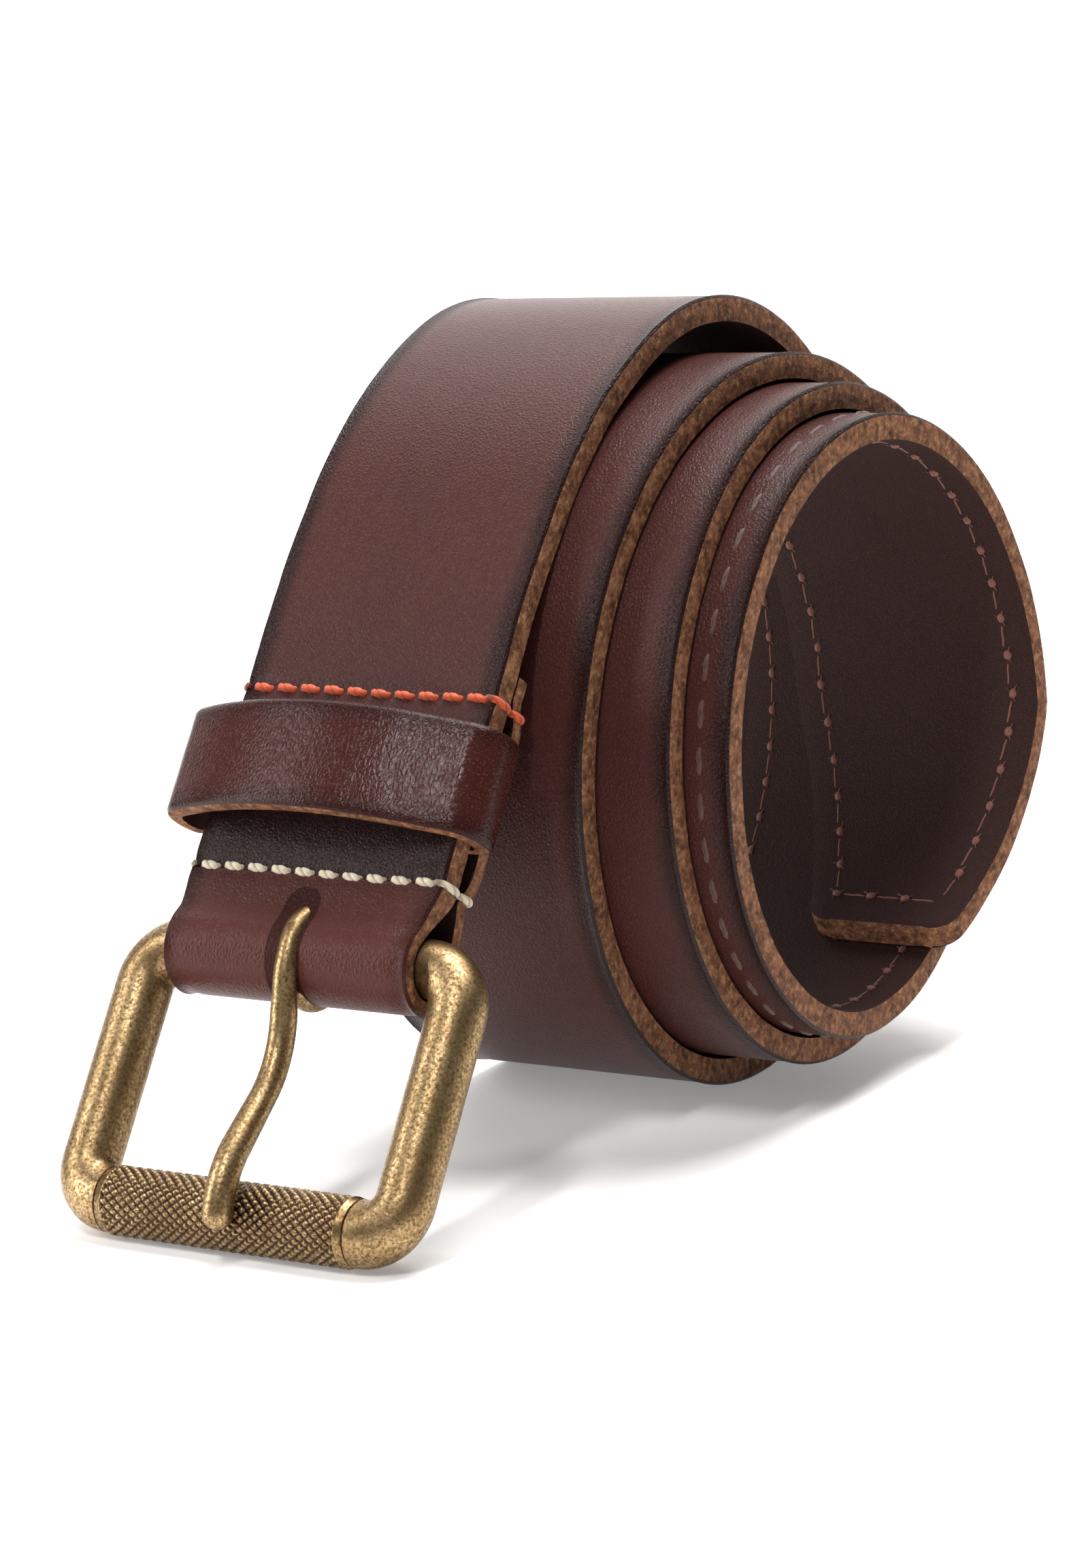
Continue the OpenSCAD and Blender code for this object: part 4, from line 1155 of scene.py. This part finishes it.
def knot_unit():
    """A small thread knot of unit size with three short whiskers."""
    rings, shells = [], []
    for i in range(7):
        a = -math.pi / 2 + math.pi * (i + 0.3) / 6.6
        rings.append([Vector((0.5 * math.sin(a),
                              0.5 * math.cos(a) * math.cos(b) * (1 + 0.18 * math.cos(3 * b)),
                              0.36 * math.cos(a) * math.sin(b) + 0.1)) / MM
                      for b in (math.tau * k / 9 for k in range(9))])
    shells.append(rings)
    for turn, rise in ((0.6, 0.25), (2.7, 0.4), (4.4, 0.2)):
        tip = Vector((math.cos(turn), math.sin(turn), rise)) * 0.95 / MM
        centres = [tip * f + Vector((0, 0, 0.12 / MM * math.sin(3 * f))) for f in (0.2, 0.6, 1.0)]
        shells.append([[c + Vector((0, math.cos(b), math.sin(b))) * r / MM for b in (0, 2.09, 4.19)]
                       for c, r in zip(centres, (0.1, 0.08, 0.03))])
    piece = join_shells("knot_unit", shells, [], sharp=180)
    count = len(piece.data.vertices)
    piece.data.attributes.new("groove", "FLOAT", "POINT").data.foreach_set("value", [0.15] * count)
    return piece


class BELT_OT_tail(bpy.types.Operator):
    """Sews the tail: running stitches on the grain side, and knots joined by thin thread on the back"""
    bl_idname = "belt.tail"
    bl_label = "Tail stitches"

    def execute(self, context):
        s = context.scene.belt_thread
        finish = thread_finish("linen_thread_waxed_brown", s.brown, linear("#241310"))
        rust = thread_finish("linen_thread_waxed_rust", s.rust, linear("#3c1d16"))
        unit = stitch_unit("tail_stitch_unit", 8, 9, 1.2, 0.5)
        top = lay_stitches("tail_top_thread_sewn", tail_rows(STRAP_T - 0.2, TAIL_GAP, 1), unit, finish,
                           TAIL_THREAD, 11)
        finish_piece(top, "strap", "brown_thread", "tail_top_thread")
        lines = lay_stitches("tail_under_thread_sewn", tail_rows(0.1, 0.3, -1), unit, rust, 0.4, 13)
        knot = knot_unit()
        rows = [(place - along * (reach + TAIL_GAP) / 2, along, out, 1.5)
                for place, along, out, reach in tail_rows(0.1, TAIL_GAP, -1)]
        knots = lay_stitches("tail_knots", rows, knot, rust, 1.25, 17)
        context.view_layer.objects.active = lines
        for o in context.selected_objects:
            o.select_set(False)
        lines.select_set(True)
        knots.select_set(True)
        bpy.ops.object.join()
        finish_piece(lines, "strap", "brown_thread", "tail_under_thread")
        for o in (unit, knot):
            bpy.data.objects.remove(o)
        return {"FINISHED"}


# ---------------------------------------------------------------- stage
CAMERA_FROM = Vector((282.4, -449.25, 154.3))
CAMERA_AZIMUTH, CAMERA_ELEVATION, CAMERA_ROLL, CAMERA_LENS = 32.707, 11.379, -3.53, 89.88


class BELT_OT_stage(bpy.types.Operator):
    """Sets the pale floor and backdrop, the soft lights and the camera"""
    bl_idname = "belt.stage"
    bl_label = "Stage"

    def execute(self, context):
        settings = context.scene.belt_stage
        paper = bpy.data.materials.new("paper_backdrop_matt")
        paper.use_nodes = True
        tree = paper.node_tree
        tree.nodes.clear()
        place = add_node(tree, "ShaderNodeTexCoord").outputs["Object"]
        tooth = add_node(tree, "ShaderNodeTexNoise", {"Vector": place, "Scale": 1200.0, "Detail": 2.0})
        bump = add_node(tree, "ShaderNodeBump", {"Height": tooth.outputs["Fac"], "Distance": 0.02 * MM})
        shader = add_node(tree, "ShaderNodeBsdfPrincipled", {
            "Base Color": (*settings.floor, 1), "Roughness": 0.75, "Specular IOR Level": 0.2,
            "Normal": bump.outputs["Normal"], "Emission Color": (1, 1, 1, 1),
            "Emission Strength": settings.glow})
        add_node(tree, "ShaderNodeOutputMaterial", {"Surface": shader.outputs[0]})
        profile = [(-1500, 0)] + [(900 + 400 * math.sin(a), 400 - 400 * math.cos(a))
                                  for a in (math.pi / 2 * k / 16 for k in range(17))] + [(1300, 1600)]
        turn = Matrix.Rotation(math.radians(CAMERA_AZIMUTH), 3, "Z")
        points = [turn @ Vector((x, y, z - 0.02)) for y, z in profile for x in (-1800, 1800)]
        faces = [(2 * i, 2 * i + 1, 2 * i + 3, 2 * i + 2) for i in range(len(profile) - 1)]
        floor = new_piece("floor_and_backdrop", points, faces, [paper])
        wall = Matrix.Rotation(math.radians(CAMERA_AZIMUTH), 3, "Z")
        for name, power, size, where, target in (
                ("overhead_softbox", settings.key, (0.5, 0.5), Vector((60, 190, 800)), Vector((0, 0, 50))),
                ("side_softbox", settings.fill, (0.08, 0.5), Vector((-420, -330, 220)), Vector((0, -50, 40))),
                ("front_softbox", settings.fill * 0.8, (0.05, 0.14), Vector((60, -400, 520)),
                 Vector((0, -50, 50))),
                ("backdrop_softbox", settings.back, (1.6, 0.3), wall @ Vector((0, 600, 1100)),
                 wall @ Vector((0, 1300, 450)))):
            lamp = bpy.data.lights.new(name, "AREA")
            lamp.shape, lamp.size, lamp.size_y, lamp.energy = "RECTANGLE", size[0], size[1], power
            light = bpy.data.objects.new(name, lamp)
            light.location = where * MM
            aim = (target - where) * MM
            light.rotation_euler = aim.to_track_quat("-Z", "Y").to_euler()
            context.scene.collection.objects.link(light)
        world = bpy.data.worlds.new("even_surround")
        world.use_nodes = True
        world.node_tree.nodes.clear()
        sky = add_node(world.node_tree, "ShaderNodeBackground",
                       {"Color": (1, 1, 1, 1), "Strength": settings.sky})
        add_node(world.node_tree, "ShaderNodeOutputWorld", {"Surface": sky.outputs[0]})
        context.scene.world = world
        context.scene.view_settings.view_transform = "Standard"
        lens = bpy.data.cameras.new("camera")
        lens.lens, lens.sensor_width, lens.sensor_fit = CAMERA_LENS, 36, "AUTO"
        lens.clip_start, lens.clip_end = 0.01, 20
        camera = bpy.data.objects.new("camera", lens)
        a, e, r = (math.radians(v) for v in (CAMERA_AZIMUTH, CAMERA_ELEVATION, CAMERA_ROLL))
        back = Vector((math.sin(a) * math.cos(e), -math.cos(a) * math.cos(e), math.sin(e)))
        right = Vector((math.cos(a), math.sin(a), 0))
        up = back.cross(right)
        rolled = right * math.cos(r) + up * math.sin(r)
        top = up * math.cos(r) - right * math.sin(r)
        turn = Matrix((rolled, top, back)).transposed().to_4x4()
        camera.matrix_world = Matrix.Translation(CAMERA_FROM * MM) @ turn
        context.scene.collection.objects.link(camera)
        context.scene.camera = camera
        return {"FINISHED"}


# ---------------------------------------------------------------- add-on
OPERATORS = (BELT_OT_strap, BELT_OT_keeper, BELT_OT_staple, BELT_OT_frame, BELT_OT_roller, BELT_OT_tongue,
             BELT_OT_seams, BELT_OT_tail, BELT_OT_stage)
GROUPS = (("belt_leather", BELT_PG_leather), ("belt_thread", BELT_PG_thread), ("belt_brass", BELT_PG_brass),
          ("belt_stage", BELT_PG_stage))


class BELT_PT_panel(bpy.types.Panel):
    """Lists the belt's settings and the buttons that make its pieces"""
    bl_idname = "BELT_PT_panel"
    bl_label = "Coiled Leather Belt"
    bl_space_type = "VIEW_3D"
    bl_region_type = "UI"
    bl_category = "Belt"

    def draw(self, context):
        for name, group in GROUPS:
            box = self.layout.box()
            for key in group.__annotations__:
                box.prop(getattr(context.scene, name), key)
        for operator in OPERATORS:
            self.layout.operator(operator.bl_idname)


def register():
    for name, group in GROUPS:
        bpy.utils.register_class(group)
        setattr(bpy.types.Scene, name, bpy.props.PointerProperty(type=group))
    for kind in OPERATORS + (BELT_PT_panel,):
        bpy.utils.register_class(kind)


def unregister():
    for kind in reversed(OPERATORS + (BELT_PT_panel,)):
        bpy.utils.unregister_class(kind)
    for name, group in reversed(GROUPS):
        delattr(bpy.types.Scene, name)
        bpy.utils.unregister_class(group)


def main():
    register()
    for operator in OPERATORS:
        group, name = operator.bl_idname.split(".")
        getattr(getattr(bpy.ops, group), name)()


if __name__ == "__main__":
    main()
